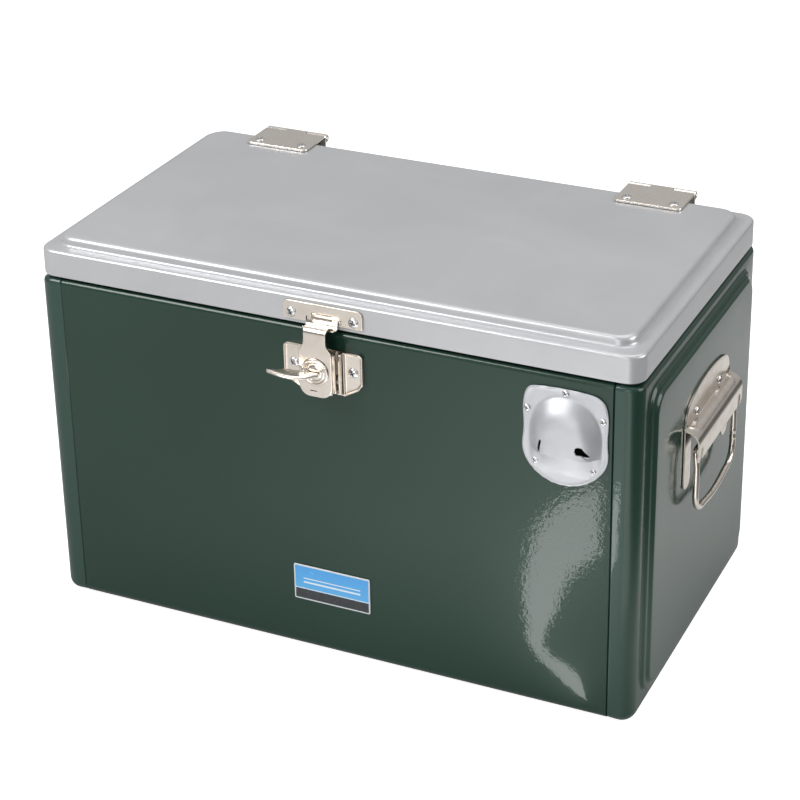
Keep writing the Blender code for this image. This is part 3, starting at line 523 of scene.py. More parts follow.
def plated(name, base, rough, warm=(0.0, 0.0, 0.0)):
    """Bright plated steel: faint stains, fine polish lines, and painted shade that darkens the base colour in crevices.
    """
    s = Shader(name)
    cloud = s.noise(120.0, 4.0, 0.6, 0.4)
    lines = s.noise(1.0, 3.0, 0.7, 0.0, s.scaled(300.0, 300.0, 2600.0))
    other = tuple(c * k for c, k in zip(base, (0.93, 0.90, 0.86)))
    tone = s.mix(s.remap(cloud, 0.38, 0.70), base, other)
    # painted shade: ambient occlusion darkens the base colour towards dark brown in crevices, hollows and between parts
    crevice_shade = s.put("ShaderNodeAmbientOcclusion", samples=4)
    crevice_shade.inputs["Distance"].default_value = 0.007
    painted_shade = s.remap(crevice_shade.outputs["AO"], 0.12, 0.66, 0.62, 0.0)
    s.set(Base_Color=s.mix(painted_shade, tone, (0.050, 0.038, 0.028)), Metallic=1.0)
    s.set(Roughness=s.math("ADD", s.remap(cloud, 0.3, 0.75, rough, rough + 0.07),
                           s.remap(lines, 0.5, 0.8, 0.0, 0.04)))
    s.set(Normal=s.bump(lines, 0.0000015, 1.0, s.bump(s.noise(260.0, 2.0), 0.000012)))
    return s.mat


def satin():
    """Opener: drawn satin steel with faint vertical draw lines."""
    s = Shader("satin_steel")
    lines = s.noise(1.0, 4.0, 0.7, 0.0, s.scaled(1800.0, 200.0, 90.0))
    cloud = s.noise(60.0, 3.0, 0.6, 0.3)
    s.set(Base_Color=s.mix(s.remap(cloud, 0.35, 0.7), (0.560, 0.568, 0.590), (0.515, 0.527, 0.550)), Metallic=0.66)
    s.set(Roughness=s.math("ADD", s.remap(cloud, 0.3, 0.7, 0.42, 0.50), s.remap(lines, 0.45, 0.8, 0.0, 0.07)))
    s.set(Normal=s.bump(lines, 0.0000020, 1.0, s.bump(s.noise(180.0, 2.0), 0.000020)))
    return s.mat


def moulded():
    s = Shader("white_plastic")
    scuff = s.noise(1.0, 4.0, 0.65, 0.2, s.scaled(40.0, 40.0, 260.0))
    cloud = s.noise(14.0, 3.0)
    tone = s.mix(s.remap(cloud, 0.3, 0.7), (0.800, 0.808, 0.800), (0.765, 0.775, 0.768))
    s.set(Base_Color=tone, Roughness=s.remap(scuff, 0.4, 0.75, 0.34, 0.48), Specular_IOR_Level=0.45)
    s.set(Subsurface_Weight=0.06, Subsurface_Radius=(0.004, 0.004, 0.004))
    s.set(Normal=s.bump(s.noise(700.0, 2.0), 0.000012, 1.0, s.bump(s.noise(30.0, 1.0), 0.00008)))
    return s.mat


def rubber():
    s = Shader("black_rubber")
    grain = s.noise(1500.0, 3.0, 0.6)
    dust = s.noise(90.0, 4.0, 0.6)
    s.set(Base_Color=s.mix(s.remap(dust, 0.45, 0.8), (0.014, 0.014, 0.015), (0.040, 0.040, 0.041)))
    s.set(Roughness=s.remap(grain, 0.3, 0.7, 0.52, 0.68), Normal=s.bump(grain, 0.00002))
    return s.mat


def foam_mat():
    s = Shader("foam")
    cell = s.voronoi(900.0)
    tone = s.mix(s.remap(s.noise(40.0, 3.0), 0.3, 0.7), (0.78, 0.70, 0.46), (0.70, 0.60, 0.36))
    s.set(Base_Color=tone, Roughness=0.9, Normal=s.bump(cell, 0.0002))
    return s.mat


GREEN = enamel()
SILVER = silver()
NICKEL = plated("nickel", (0.870, 0.805, 0.735), 0.17)
ZINC = plated("zinc", (0.790, 0.795, 0.810), 0.20)
NICKEL_TOP = plated("nickel_top", (0.975, 0.920, 0.865), 0.24)
SATIN = satin()
WHITE = moulded()
RUBBER = rubber()
FOAM = foam_mat()

# ============================================================ frame numbers
w_lo, w_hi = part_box("body_wrap")
SEAM, HY, HB = w_hi.x, -w_lo.y, w_hi.z
PANEL_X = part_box("end_panel_right")[1].x
EMBOSS = 0.0047
HX = PANEL_X - EMBOSS
R_VERT, R_BOTTOM, R_SHOULDER, RIM = 0.010, 0.007, 0.0035, 0.012
T, G = 0.0008, 0.0003
l_lo, l_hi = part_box("lid_shell")
LID_X, LID_Y, LID_Z0, LID_TOP = l_hi.x, l_hi.y, l_lo.z, l_hi.z
LID_EDGE = LID_TOP - 0.0070


def ripple(a, b, seed, size=9.0):
    """Gentle waviness of pressed sheet, about -1 to 1."""
    return noise.noise(Vector((a * size, b * size, seed))) + 0.4 * noise.noise(Vector((a * size * 2.3, b * size * 2.3, seed + 7)))


# ===================================================================== body
def wrap_path(d, flats=22):
    """Section of the wrap sheet in (y, z), moved inward by d."""
    half = [(-HY + RIM, HB - d)]
    half += [(-HY + R_SHOULDER - (R_SHOULDER - d) * math.sin(rad(a)),
              HB - R_SHOULDER + (R_SHOULDER - d) * math.cos(rad(a))) for a in range(0, 91, 10)]
    z0, z1 = HB - R_SHOULDER, R_BOTTOM
    half += [(-HY + d, lerp(z0, z1, k / flats)) for k in range(1, flats)]
    half += [(-HY + R_BOTTOM - (R_BOTTOM - d) * math.cos(rad(a)),
              R_BOTTOM - (R_BOTTOM - d) * math.sin(rad(a))) for a in [k * 7.5 for k in range(13)]]
    half += [(lerp(-HY + R_BOTTOM, 0, k / 6), d) for k in range(1, 6)]
    return half + [(0.0, d)] + [(-y, z) for y, z in reversed(half)]


stations = [(-SEAM, 0.00030), (-SEAM + 0.00012, 0.00012), (-SEAM + 0.00035, 0.0)]
stations += [(lerp(-SEAM + 0.00035, SEAM - 0.00035, k / 40), 0.0) for k in range(1, 40)]
stations += [(-x, d) for x, d in reversed(stations[:3])]
rows = []
for x, d in stations:
    row = []
    for y, z in wrap_path(d):
        if abs(abs(y) - HY) < 0.0004 and R_BOTTOM < z < HB - R_SHOULDER:
            fade = ramp(z, 0.012, 0.050) * ramp(HB - z, 0.008, 0.045) * ramp(SEAM - abs(x), 0.002, 0.05)
            y += (0.00007 * ripple(x, z, 3.1 if y < 0 else 8.4) - 0.00009) * fade * (1 if y > 0 else -1)
        row.append((x, y, z))
    rows.append(row)
bm = facing(loft(rows, wrap=False), away=(0, 0, HB / 2))
piece("wrap_sheet", bm, GREEN, "chest", ["body_wrap"], solid=T, sharp=40)


def end_panel(sign):
    """Pressed end cap: tucked flange, joggle, corner round, raised field."""
    under = T + G + 0.0001
    rows = [(0.1955, under, under, under, R_BOTTOM - under, R_SHOULDER - under),
            (0.2022, under, under, under, R_BOTTOM - under, R_SHOULDER - under),
            (SEAM + 0.00005, under, under, under, R_BOTTOM - under, R_SHOULDER - under)]
    for k in range(1, 7):
        t = k / 6
        d = lerp(under, 0.0002, smooth(t))
        rows.append((SEAM + 0.0001 + 0.0013 * t, d, d, d, R_BOTTOM - d, R_SHOULDER - d))
    rows += [(0.2085, 0.0001, 0.0001, 0.0001, R_BOTTOM, R_SHOULDER)]
    rows += [(HX - RIM, 0.0, 0.0, 0.0, R_BOTTOM, R_SHOULDER)]
    for a in [k * 9.0 for k in range(0, 11)]:
        s, c = math.sin(rad(a)), 1 - math.cos(rad(a))
        rows.append((HX - R_VERT + R_VERT * s, R_VERT * c, R_BOTTOM * c, R_SHOULDER * c,
                     R_BOTTOM - 0.004 * c, R_SHOULDER - 0.0015 * c))
    loops = []
    edge = HY - RIM
    for x, iy, ib, it, rb, rt in rows:
        flat = rrect(-HY + iy, HY - iy, ib, HB - it, rb, 10, rt)
        # points where the rim of the mouth will be opened
        at = next(i for i, (a, b) in enumerate(flat) if b > HB / 2 and a < HY - iy - rt + 1e-6 and a > 0
                  and abs(b - (HB - it)) < 1e-6)
        flat = flat[:at + 1] + [(edge, HB - it), (-edge, HB - it)] + flat[at + 1:]
        loops.append((x, flat, at))
    bm = bmesh.new()
    rings = [[bm.verts.new((sign * x, a, b)) for a, b in flat] for x, flat, _ in loops]
    n, at = len(rings[0]), loops[0][2]
    for r, (low, high) in enumerate(zip(rings, rings[1:])):
        for i in range(n):
            j = (i + 1) % n
            if i == at + 1 and loops[r + 1][0] <= HX - RIM + 1e-6:
                continue
            bm.faces.new((low[i], low[j], high[j], high[i]))
    # raised field: its own loops, stitched to the flat ring around it
    field = []
    steps = [(0.0, 0.0), (0.0004, 0.00012), (0.0009, 0.00050), (0.0015, 0.00125), (0.0020, 0.00180), (0.0025, 0.00210),
             (0.0032, 0.00222), (0.0042, 0.00230), (0.0050, 0.00242), (0.0056, 0.00275), (0.0062, 0.00335),
             (0.0068, 0.00400), (0.0073, 0.00438), (0.0079, 0.00462), (0.0088, EMBOSS)]
    for step, rise in steps:
        field.append([(sign * (HX + rise), a, b) for a, b in
                      rrect(-0.1112 + step, 0.1112 - step, 0.0105 + step, 0.2473 - step, 0.019 - 0.6 * step, 12)])
    cy, cz = 0.0, (0.0105 + 0.2473) / 2
    for share in (0.93, 0.84, 0.72, 0.58, 0.42, 0.26, 0.12):
        row = []
        for _, a, b in field[len(steps) - 1]:
            y, z = cy + (a - cy) * share, cz + (b - cz) * share
            dent = (0.00008 * ripple(y, z, 5.0 + sign) - 0.0001) * ramp(1 - share, 0.0, 0.25)
            row.append((sign * (HX + EMBOSS + dent), y, z))
        field.append(row)
    verts = [[bm.verts.new(p) for p in row] for row in field]
    m = len(verts[0])
    for low, high in zip(verts, verts[1:]):
        for i in range(m):
            j = (i + 1) % m
            bm.faces.new((low[i], low[j], high[j], high[i]))
    bm.faces.new(verts[-1])
    bm.edges.ensure_lookup_table()
    outer = [e for e in bm.edges if e.is_boundary and all(v in set(rings[-1]) for v in e.verts)]
    inner = [e for e in bm.edges if e.is_boundary and all(v in set(verts[0]) for v in e.verts)]
    bmesh.ops.bridge_loops(bm, edges=outer + inner)
    bmesh.ops.recalc_face_normals(bm, faces=bm.faces)
    facing(bm, away=(sign * 0.1, 0, HB / 2))
    name = "right" if sign > 0 else "left"
    return piece("end_cap_" + name, bm, GREEN, "chest", ["end_panel_" + name], solid=T, sharp=40)


end_panel(1)
end_panel(-1)

# Liner: one moulded tub with a rolled flange.
i_lo, i_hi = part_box("inner_liner")
LINER_X, LINER_Y, LINER_FLOOR, LINER_T, DRAFT = 0.1975, 0.1010, 0.0200, 0.0015, 0.0035
FLANGE_X, FLANGE_Y, FLANGE_TOP = i_hi.x, i_hi.y, i_hi.z


def liner_loop(grow, z, draft=0.0, n=12):
    return [(a, b, z) for a, b in rrect(-LINER_X - grow + draft, LINER_X + grow - draft, -LINER_Y - grow + draft,
                                        LINER_Y + grow - draft, max(0.022 + grow, 0.0045), n)]


rows = []
for k in range(0, 9):                       # outside, bottom round up to the flange
    a = rad(90.0 * k / 8)
    rows.append(liner_loop(LINER_T - 0.0052 * (1 - math.sin(a)), LINER_FLOOR - LINER_T + 0.0052 * (1 - math.cos(a)), DRAFT))
rows += [liner_loop(LINER_T, 0.2571 - 0.0002), liner_loop(LINER_T + 0.0003, 0.2571)]
rows += [liner_loop(0.0109, 0.2571), liner_loop(0.0114, 0.2573), liner_loop(0.0115, 0.2578), liner_loop(0.0113, 0.2583),
         liner_loop(0.0108, 0.2586), liner_loop(0.0032, 0.2586)]
for k in range(1, 9):                       # rolled inner lip of the flange
    a = rad(90.0 * k / 8)
    rows.append(liner_loop(0.0032 - 0.0032 * math.sin(a), 0.2586 - 0.0032 * (1 - math.cos(a))))
inner_z = 0.2554
rows += [liner_loop(0.0, lerp(inner_z, 0.0262, k / 6), DRAFT * k / 6) for k in range(1, 7)]
for k in range(1, 9):
    a = rad(90.0 * k / 8)
    rows.append(liner_loop(-0.0062 * (1 - math.cos(a)), 0.0262 - 0.0062 * math.sin(a), DRAFT))
rows += [liner_loop(-0.030, LINER_FLOOR, DRAFT), liner_loop(-0.0306, LINER_FLOOR - 0.0004, DRAFT),
         liner_loop(-0.034, LINER_FLOOR - 0.0004, DRAFT), liner_loop(-0.0346, LINER_FLOOR, DRAFT)]
bm = loft([[(x, y, z) for x, y, z in r] for r in rows])
d_lo, d_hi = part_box("drain_nut")
DRAIN_Z = (d_lo.z + d_hi.z) / 2
drain_core = lathe([(0, -0.03), (0.0078, -0.03), (0.0078, 0.03), (0, 0.03)], 32,
                   Matrix.Translation((-0.205, 0, DRAIN_Z)) @ Matrix.Rotation(HALF, 4, "Y"))
piece("liner_tub", bm, WHITE, "chest", ["inner_liner"], sharp=40, cut=[drain_core])

# Dark breaker strip between the steel rim and the tub.
t_lo, t_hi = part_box("rim_trim")
tx, ty, tz0, tz1 = t_hi.x, t_hi.y, t_lo.z, t_hi.z


def trim_loop(d, z, n=12):
    return [(a, b, z) for a, b in rrect(-tx + d, tx - d, -ty + d, ty - d, 0.0070 - 0.5 * d, n)]


rows = [trim_loop(0.0004, tz0), trim_loop(0.0001, tz0 + 0.00015), trim_loop(0, tz0 + 0.0004), trim_loop(0, tz1 - 0.0004),
        trim_loop(0.0002, tz1 - 0.0001), trim_loop(0.0006, tz1), liner_loop(LINER_T + G, tz1), liner_loop(LINER_T + G, tz0)]
piece("breaker_strip", loft(rows, ring=True), RUBBER, "chest", ["rim_trim"])


# ====================================================================== lid
def lid_loop(ix, iyf, iyb, z, r, n=12):
    return [(a, b, z) for a, b in rrect(-LID_X + ix, LID_X - ix, -LID_Y + iyf, LID_Y - iyb, r, n)]


def lid_rows():
    rows = [lid_loop(0.0004, 0.0004, 0.0004, LID_Z0, 0.0118), lid_loop(0.0001, 0.0001, 0.0001, LID_Z0 + 0.0002, 0.012),
            lid_loop(0, 0, 0, LID_Z0 + 0.0006, 0.012)]
    rows += [lid_loop(0, 0, 0, lerp(LID_Z0 + 0.0006, LID_EDGE - 0.0024, k / 4), 0.012) for k in range(1, 5)]
    for a in (12, 24, 36, 48, 60, 72, 84, 90):
        s, c = 0.0024 * math.sin(rad(a)), 0.0024 * (1 - math.cos(rad(a)))
        rows.append(lid_loop(c, c, c, LID_EDGE - 0.0024 + s, 0.012 - c * 0.7))
    rows.append(lid_loop(0.0040, 0.0040, 0.0042, LID_EDGE + 0.0001, 0.0110))
    prof = [(0.0076, 0.0003), (0.0084, 0.0005), (0.0090, 0.0009), (0.0094, 0.0015), (0.0096, 0.0022), (0.0098, 0.0032),
            (0.0100, 0.0042), (0.0103, 0.0051), (0.0108, 0.0059), (0.0115, 0.0065), (0.0124, 0.0069), (0.0134, 0.0070)]
    for d, h in prof:
        rows.append(lid_loop(d, d + 0.0003, d + 0.0023, LID_EDGE + h, 0.0122 - 0.30 * max(0.0, d - 0.0090) / 0.0010 * 0.0008))
    return rows


rows = lid_rows()
base_row = rows[-1]
for share in (0.965, 0.92, 0.86, 0.78, 0.68, 0.56, 0.42, 0.28, 0.14):
    row = []
    for x, y, z in base_row:
        px, py = x * share, -0.0010 + (y + 0.0010) * share
        row.append((px, py, LID_TOP - (0.00009 * (1 - ripple(px, py, 2.2, 7.0))) * ramp(1 - share, 0.0, 0.3)))
    rows.append(row)
bm = loft(rows, caps=(False, True))
bmesh.ops.recalc_face_normals(bm, faces=bm.faces)
facing(bm, away=(0, 0, 0.2))
piece("lid_skin", bm, SILVER, "lid", ["lid_shell"], solid=T, sharp=50)

# Pan under the lid with a moulded step, and the seal around it.
p_lo, p_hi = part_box("lid_pan")
PAN_Z0, PAN_Z1 = p_lo.z, p_hi.z


def pan_loop(grow, z):
    return liner_loop(grow, z)


def wide(d, z, n=12):
    return [(a, b, z) for a, b in rrect(-p_hi.x + d, p_hi.x - d, p_lo.y + d, p_hi.y - d, 0.0107, n)]


flange_z = PAN_Z1 - 0.0012
rows = [wide(0.0003, PAN_Z1), wide(0.0, PAN_Z1 - 0.0003), wide(0.0, flange_z + 0.0003), wide(0.0003, flange_z),
        pan_loop(-0.0024, flange_z)]
for k in range(1, 6):
    a = rad(90 * k / 5)
    rows.append(pan_loop(-0.0024 - 0.0010 * math.sin(a), flange_z - 0.0010 * (1 - math.cos(a))))
for k in range(0, 6):
    a = rad(90 * k / 5)
    rows.append(pan_loop(-0.0038 - 0.0014 * (1 - math.cos(a)), PAN_Z0 + 0.0014 - 0.0014 * math.sin(a)))
rows += [pan_loop(-0.0220, PAN_Z0), pan_loop(-0.0232, PAN_Z0 + 0.0004), pan_loop(-0.0240, PAN_Z0 + 0.0012),
         pan_loop(-0.0246, PAN_Z0 + 0.0014), pan_loop(-0.030, PAN_Z0 + 0.0014)]
bm = loft(rows)
piece("lid_inner_pan", bm, WHITE, "lid", ["lid_pan"], sharp=40)

g_lo, g_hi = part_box("lid_gasket")
gw = (g_hi.x - LINER_X)
rows = []
for k in range(16):
    a = TAU * k / 16
    rows.append(liner_loop(0.0070 + 0.0035 * math.cos(a), (g_lo.z + g_hi.z) / 2 + 0.00132 * math.sin(a)))
piece("lid_seal", loft(rows, ring=True), RUBBER, "lid", ["lid_gasket"], sharp=60)


# ================================================================== screws
def screw_bm(radius, height, recess, below=0.0006):
    """Pan head with a pressed washer edge; the cross recess is cut later."""
    prof = [(0.0, -below), (radius * 0.80, -below), (radius * 0.97, -below + 0.0001), (radius, -below + 0.0003),
            (radius, 0.00022), (radius * 0.985, 0.00042), (radius * 0.94, 0.00052)]
    for k in range(1, 10):
        a = rad(10 * k)
        prof.append((radius * (0.93 * math.cos(a)) if k < 9 else 0.0, 0.00050 + (height - 0.00050) * math.sin(a)))
    return lathe(prof, 36)


def cross_cut(radius, depth, top):
    """Tapered cross driven into the head."""
    tools = []
    for turn in (0, 90):
        w, h = radius * 0.15, radius * 0.62
        rows = []
        for z, k in ((top + 0.0004, 1.12), (top - depth, 0.55)):
            rows.append([(-h * k, -w * k, z), (h * k, -w * k, z), (h * k, w * k, z), (-h * k, w * k, z)])
        bm = loft(rows)
        bmesh.ops.rotate(bm, cent=(0, 0, 0), matrix=Matrix.Rotation(rad(turn + 20), 3, "Z"), verts=bm.verts)
        bmesh.ops.recalc_face_normals(bm, faces=bm.faces)
        tools.append(bm)
    return tools


SCREW_MESH = {}


def screw(name, kind, place, body):
    radius, height = {"front": (0.0036, 0.0017), "opener": (0.0025, 0.0013), "hinge": (0.0035, 0.0010),
                      "handle": (0.0033, 0.0015)}[kind]
    if kind not in SCREW_MESH:
        ob = piece(name, screw_bm(radius, height, True), ZINC, body, [name], sharp=30,
                   cut=cross_cut(radius, height * 0.95, height), place=place)
        SCREW_MESH[kind] = ob.data
        return ob
    return piece(name, None, ZINC, body, [name], place=place, share=SCREW_MESH[kind], weighted=False)


def centre_of(node):
    lo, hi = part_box(node)
    return (lo + hi) / 2, lo, hi


def turned(angle):
    return Matrix.Rotation(rad(angle), 4, "Z")


def front_screw(node, kind, seat_y, body, angle=0):
    c, lo, hi = centre_of(node)
    screw(node, kind, Matrix.Translation((c.x, seat_y, c.z)) @ Matrix.Rotation(HALF, 4, "X") @ turned(angle), body)


# =================================================================== hinges
def hinge_top_leaf(side):
    node = "hinge_lid_leaf_" + side
    c, lo, hi = centre_of(node)
    pin, plo, phi = centre_of("hinge_pin_" + side)
    top, t = hi.z, 0.0016
    ky, kz = pin.y, pin.z
    r_out = 0.0032
    cx, w = c.x, (hi.x - lo.x) / 2
    # flat leaf with rounded front corners, then a rolled middle knuckle
    f = 0.0002
    corners = [(cx - w, lo.y, 0.0036), (cx + w, lo.y, 0.0036), (cx + w, ky, 0.0002), (cx - w, ky, 0.0002)]
    prof = [(0.0002, -t), (0.00004, -t + 0.00008), (0, -t + 0.0002), (0, -0.00032), (0.00007, -0.00015), (0.0002, -0.00004),
            (0.00036, 0.0)]
    bm = relief(corners, prof, TOP(kz + r_out), n=8)
    roll = [(ky - 0.0012, kz + r_out - t / 2)]
    rr = r_out - t / 2
    roll += [(ky + rr * math.sin(rad(a)), kz + rr * math.cos(rad(a))) for a in range(0, 301, 12)]
    strip = bar(roll, 0.0168, t - 0.00004, Matrix(((0, 0, 1, cx), (1, 0, 0, 0), (0, 1, 0, 0), (0, 0, 0, 1))))
    # leaf ends flush over the knuckle line; the two outer notches leave room for the other leaf's knuckles
    tools = []
    for sx in (-1, 1):
        a0, a1 = sorted((cx + sx * 0.0086, cx + sx * (w + 0.001)))
        tools.append(prism([(a0, ky - r_out - 0.0007), (a1, ky - r_out - 0.0007), (a1, ky + 0.01), (a0, ky + 0.01)],
                           -0.006, 0.006, TOP(kz + r_out)))
    tools.append(prism([(cx - w - 0.001, ky + 0.0001), (cx + w + 0.001, ky + 0.0001), (cx + w + 0.001, ky + 0.02),
                        (cx - w - 0.001, ky + 0.02)], -0.0016 - 0.0001, 0.002, TOP(kz + r_out)))
    piece("hinge_top_" + side, bm, NICKEL_TOP, "lid", [node], sharp=28, cut=tools[:2], add=[])
    piece("hinge_roll_" + side, strip, NICKEL_TOP, "lid", (), sharp=28)


def hinge_back_leaf(side):
    node = "hinge_body_leaf_" + side
    c, lo, hi = centre_of(node)
    pin, plo, phi = centre_of("hinge_pin_" + side)
    ky, kz, t, r_out = pin.y, pin.z, 0.0016, 0.0032
    cx, w = c.x, (hi.x - lo.x) / 2
    y_in = ky - r_out
    corners = [(-w, lo.z, 0.0036), (w, lo.z, 0.0036), (w, kz + 0.0001, 0.0002), (-w, kz + 0.0001, 0.0002)]
    prof = [(0.0002, 0.0), (0.00004, 0.00008), (0, 0.0002), (0, t - 0.00032), (0.00007, t - 0.00015),
            (0.0002, t - 0.00004), (0.00036, t)]
    bm = relief(corners, prof, Matrix.Translation((cx, 0, 0)) @ BACK(y_in), n=8)
    notch = prism([(-0.0088, kz - r_out - 0.0013), (0.0088, kz - r_out - 0.0013), (0.0088, kz + 0.01), (-0.0088, kz + 0.01)],
                  -0.004, 0.008, Matrix.Translation((cx, 0, 0)) @ BACK(y_in))
    piece("hinge_back_" + side, bm, NICKEL_TOP, "chest", [node], sharp=28, cut=[notch])
    rr = r_out - t / 2
    roll = [(ky - rr, kz - 0.0012)]
    roll += [(ky - rr * math.cos(rad(a)), kz + rr * math.sin(rad(a))) for a in range(0, 301, 12)]
    for i, sx in enumerate((-1, 1)):
        mid = cx + sx * (0.0088 + w) / 2
        strip = bar(roll, w - 0.0088 - 0.0001, t - 0.00004, Matrix(((0, 0, 1, mid), (1, 0, 0, 0), (0, 1, 0, 0), (0, 0, 0, 1))))
        piece("hinge_knuckle_%s_%d" % (side, i + 1), strip, NICKEL_TOP, "chest", (), sharp=28)


for side in ("left", "right"):
    hinge_top_leaf(side)
    hinge_back_leaf(side)
    c, lo, hi = centre_of("hinge_pin_" + side)
    half = (hi.x - lo.x) / 2
    prof = [(0.0, -half), (0.0010, -half), (0.00138, -half + 0.0003), (0.00145, -half + 0.0007), (0.00145, half - 0.0007),
            (0.00138, half - 0.0003), (0.0010, half), (0.0, half)]
    piece("hinge_pin_bar_" + side, lathe(prof, 24, Matrix.Translation(c) @ Matrix.Rotation(HALF, 4, "Y")), ZINC, "chest",
          ["hinge_pin_" + side])
for i in range(1, 5):
    c, lo, hi = centre_of("hinge_lid_screw_%d" % i)
    leaf_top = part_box("hinge_lid_leaf_left")[1].z
    screw("hinge_lid_screw_%d" % i, "hinge", Matrix.Translation((c.x, c.y, leaf_top)) @ turned(25 * i), "lid")
    c, lo, hi = centre_of("hinge_body_screw_%d" % i)
    leaf_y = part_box("hinge_pin_left")[0].y + 0.00145 - 0.0032 + 0.0016
    screw("hinge_body_screw_%d" % i, "hinge", Matrix.Translation((c.x, leaf_y, c.z)) @ Matrix.Rotation(-HALF, 4, "X")
          @ turned(40 * i), "chest")

# =================================================================== keeper
k_c, k_lo, k_hi = centre_of("keeper")
LID_FRONT = -LID_Y - G
KX, KZ0, KZ1, PT = k_hi.x, 0.2605, k_hi.z, 0.0012
plate = relief([(-KX, KZ0, 0.0016), (-0.01215, KZ0, 0.0004), (-0.01215, 0.2648, 0.0009), (0.01215, 0.2648, 0.0009),
                (0.01215, KZ0, 0.0004), (KX, KZ0, 0.0016), (KX, KZ1, 0.0042), (-KX, KZ1, 0.0042)],
               [(0.0001, 0.0), (0, 0.00015), (0, PT - 0.00035), (0.00008, PT - 0.00016), (0.0002, PT - 0.00005),
                (0.00036, PT), (0.00110, PT), (0.0016, PT - 0.00002)], FRONT(LID_FRONT), n=7)
lip_line = spline([(-0.12635, 0.26640), (-0.12660, 0.26420), (-0.12690, 0.26180), (-0.12770, 0.25975),
                   (-0.12925, 0.25830), (-0.13075, 0.25830), (-0.13230, 0.25895), (-0.13400, 0.25985)], 7)
lip = bar(lip_line, 0.0230, PT - 0.0001, Matrix(((0, 0, 1, 0), (1, 0, 0, 0), (0, 1, 0, 0), (0, 0, 0, 1))), edge=0.00025)
piece("keeper_plate", plate, NICKEL, "lid", ["keeper"], sharp=30, add=[lip],
      cut=[lathe([(0, -0.0080), (0.0040, -0.0080), (0.0040, 0.0074), (0, 0.0074)], 48,
                 Matrix.Translation((0, LID_FRONT - PT - 0.0034, 0.2653)) @ Matrix.Rotation(HALF, 4, "Y"))])
front_screw("keeper_screw_left", "front", LID_FRONT - PT, "lid", 10)
front_screw("keeper_screw_right", "front", LID_FRONT - PT, "lid", 55)

# =============================================================== latch base
FACE = w_lo.y
SEAT = FACE - G
b_c, b_lo, b_hi = centre_of("latch_base")
wing = [(0.0150, 0.2097, 0.0006), (0.0262, 0.2160, 0.0016), (0.0294, 0.2208, 0.0022), (0.0294, 0.2430, 0.0034),
        (0.0147, 0.2430, 0.0006)]
field = [(0.00005, 0.0), (0, 0.0002), (0, PT + 0.0006), (0.00007, PT + 0.0009), (0.00025, PT + 0.00115),
         (0.00050, PT + 0.00125), (0.00080, PT + 0.00120), (0.00110, PT + 0.00085), (0.00140, PT + 0.0004),
         (0.0017, PT + 0.00015), (0.0021, PT), (0.0029, PT - 0.00005)]
wings = []
for sx in (-1, 1):
    corners = [(sx * a, b, r) for a, b, r in wing]
    if sx < 0:
        corners.reverse()
    wings.append(relief(corners, field, FRONT(SEAT), n=8))
web = relief([(-0.0152, 0.2097, 0.0006), (0.0152, 0.2097, 0.0006), (0.0152, 0.2429, 0.0006), (-0.0152, 0.2429, 0.0006)],
             [(0.00010, 0.00003), (0.00003, 0.0002), (0.00003, PT - 0.0003), (0.0003, PT - 0.0001), (0.0006, PT - 0.00003)], FRONT(SEAT), n=3)
walls = []
for sx in (-1, 1):
    walls.append(relief([(sx * 0.0094 - 0.0006, 0.2250, 0.0003), (sx * 0.0094 + 0.0006, 0.2250, 0.0003),
                         (sx * 0.0094 + 0.0006, 0.2420, 0.0003), (sx * 0.0094 - 0.0006, 0.2420, 0.0003)],
                        [(0, PT - 0.0004), (0, 0.0056), (0.00015, 0.0060), (0.0003, 0.0062)], FRONT(SEAT), n=3))
rails = []
for sx in (-1, 1):
    a = [(0.0, 0.2108, 0.0004), (0.0054, 0.2122, 0.0018), (0.0062, 0.2200, 0.0012), (0.0062, 0.2380, 0.0012), (0.0054, 0.2424, 0.0018),
         (0.0, 0.2428, 0.0004)]
    place = Matrix(((0, 0, 1, sx * 0.0140 - 0.0006), (-1, 0, 0, SEAT - 0.0002), (0, 1, 0, 0), (0, 0, 0, 1)))
    rails.append(relief(a, [(0.0002, 0.0), (0, 0.0002), (0, 0.0010), (0.0002, 0.0012)], place, n=6))
piece("latch_plate", web, NICKEL, "chest", ["latch_base"], sharp=30, add=wings + walls + rails)
front_screw("latch_screw_left", "front", SEAT - PT, "chest", 35)
front_screw("latch_screw_right", "front", SEAT - PT, "chest", 5)
# the slider block and its pin stay inside the channel
s_c, s_lo, s_hi = centre_of("latch_slider")
block = relief([(s_lo.x, s_lo.z, 0.0012), (s_hi.x, s_lo.z, 0.0012), (s_hi.x, s_hi.z, 0.0012), (s_lo.x, s_hi.z, 0.0012)],
               [(0.0003, 0.0), (0, 0.0003), (0, s_hi.y - s_lo.y - 0.0003), (0.0003, s_hi.y - s_lo.y)], FRONT(s_hi.y), n=5)
piece("latch_slide_block", block, ZINC, "slider", ["latch_slider"], sharp=30)
c, lo, hi = centre_of("claw_pin")
half = (hi.x - lo.x) / 2
piece("claw_pivot_pin", lathe([(0, -half), (0.0007, -half), (0.0010, -half + 0.0003), (0.0010, half - 0.0003),
                               (0.0007, half), (0, half)], 20, Matrix.Translation(c) @ Matrix.Rotation(HALF, 4, "Y")),
      ZINC, "slider", ["claw_pin"])

# ===================================================================== claw
c_c, c_lo, c_hi = centre_of("latch_claw")
CY, CT = c_lo.y, 0.0012
LATCH_Z = centre_of("turn_disc")[0].z


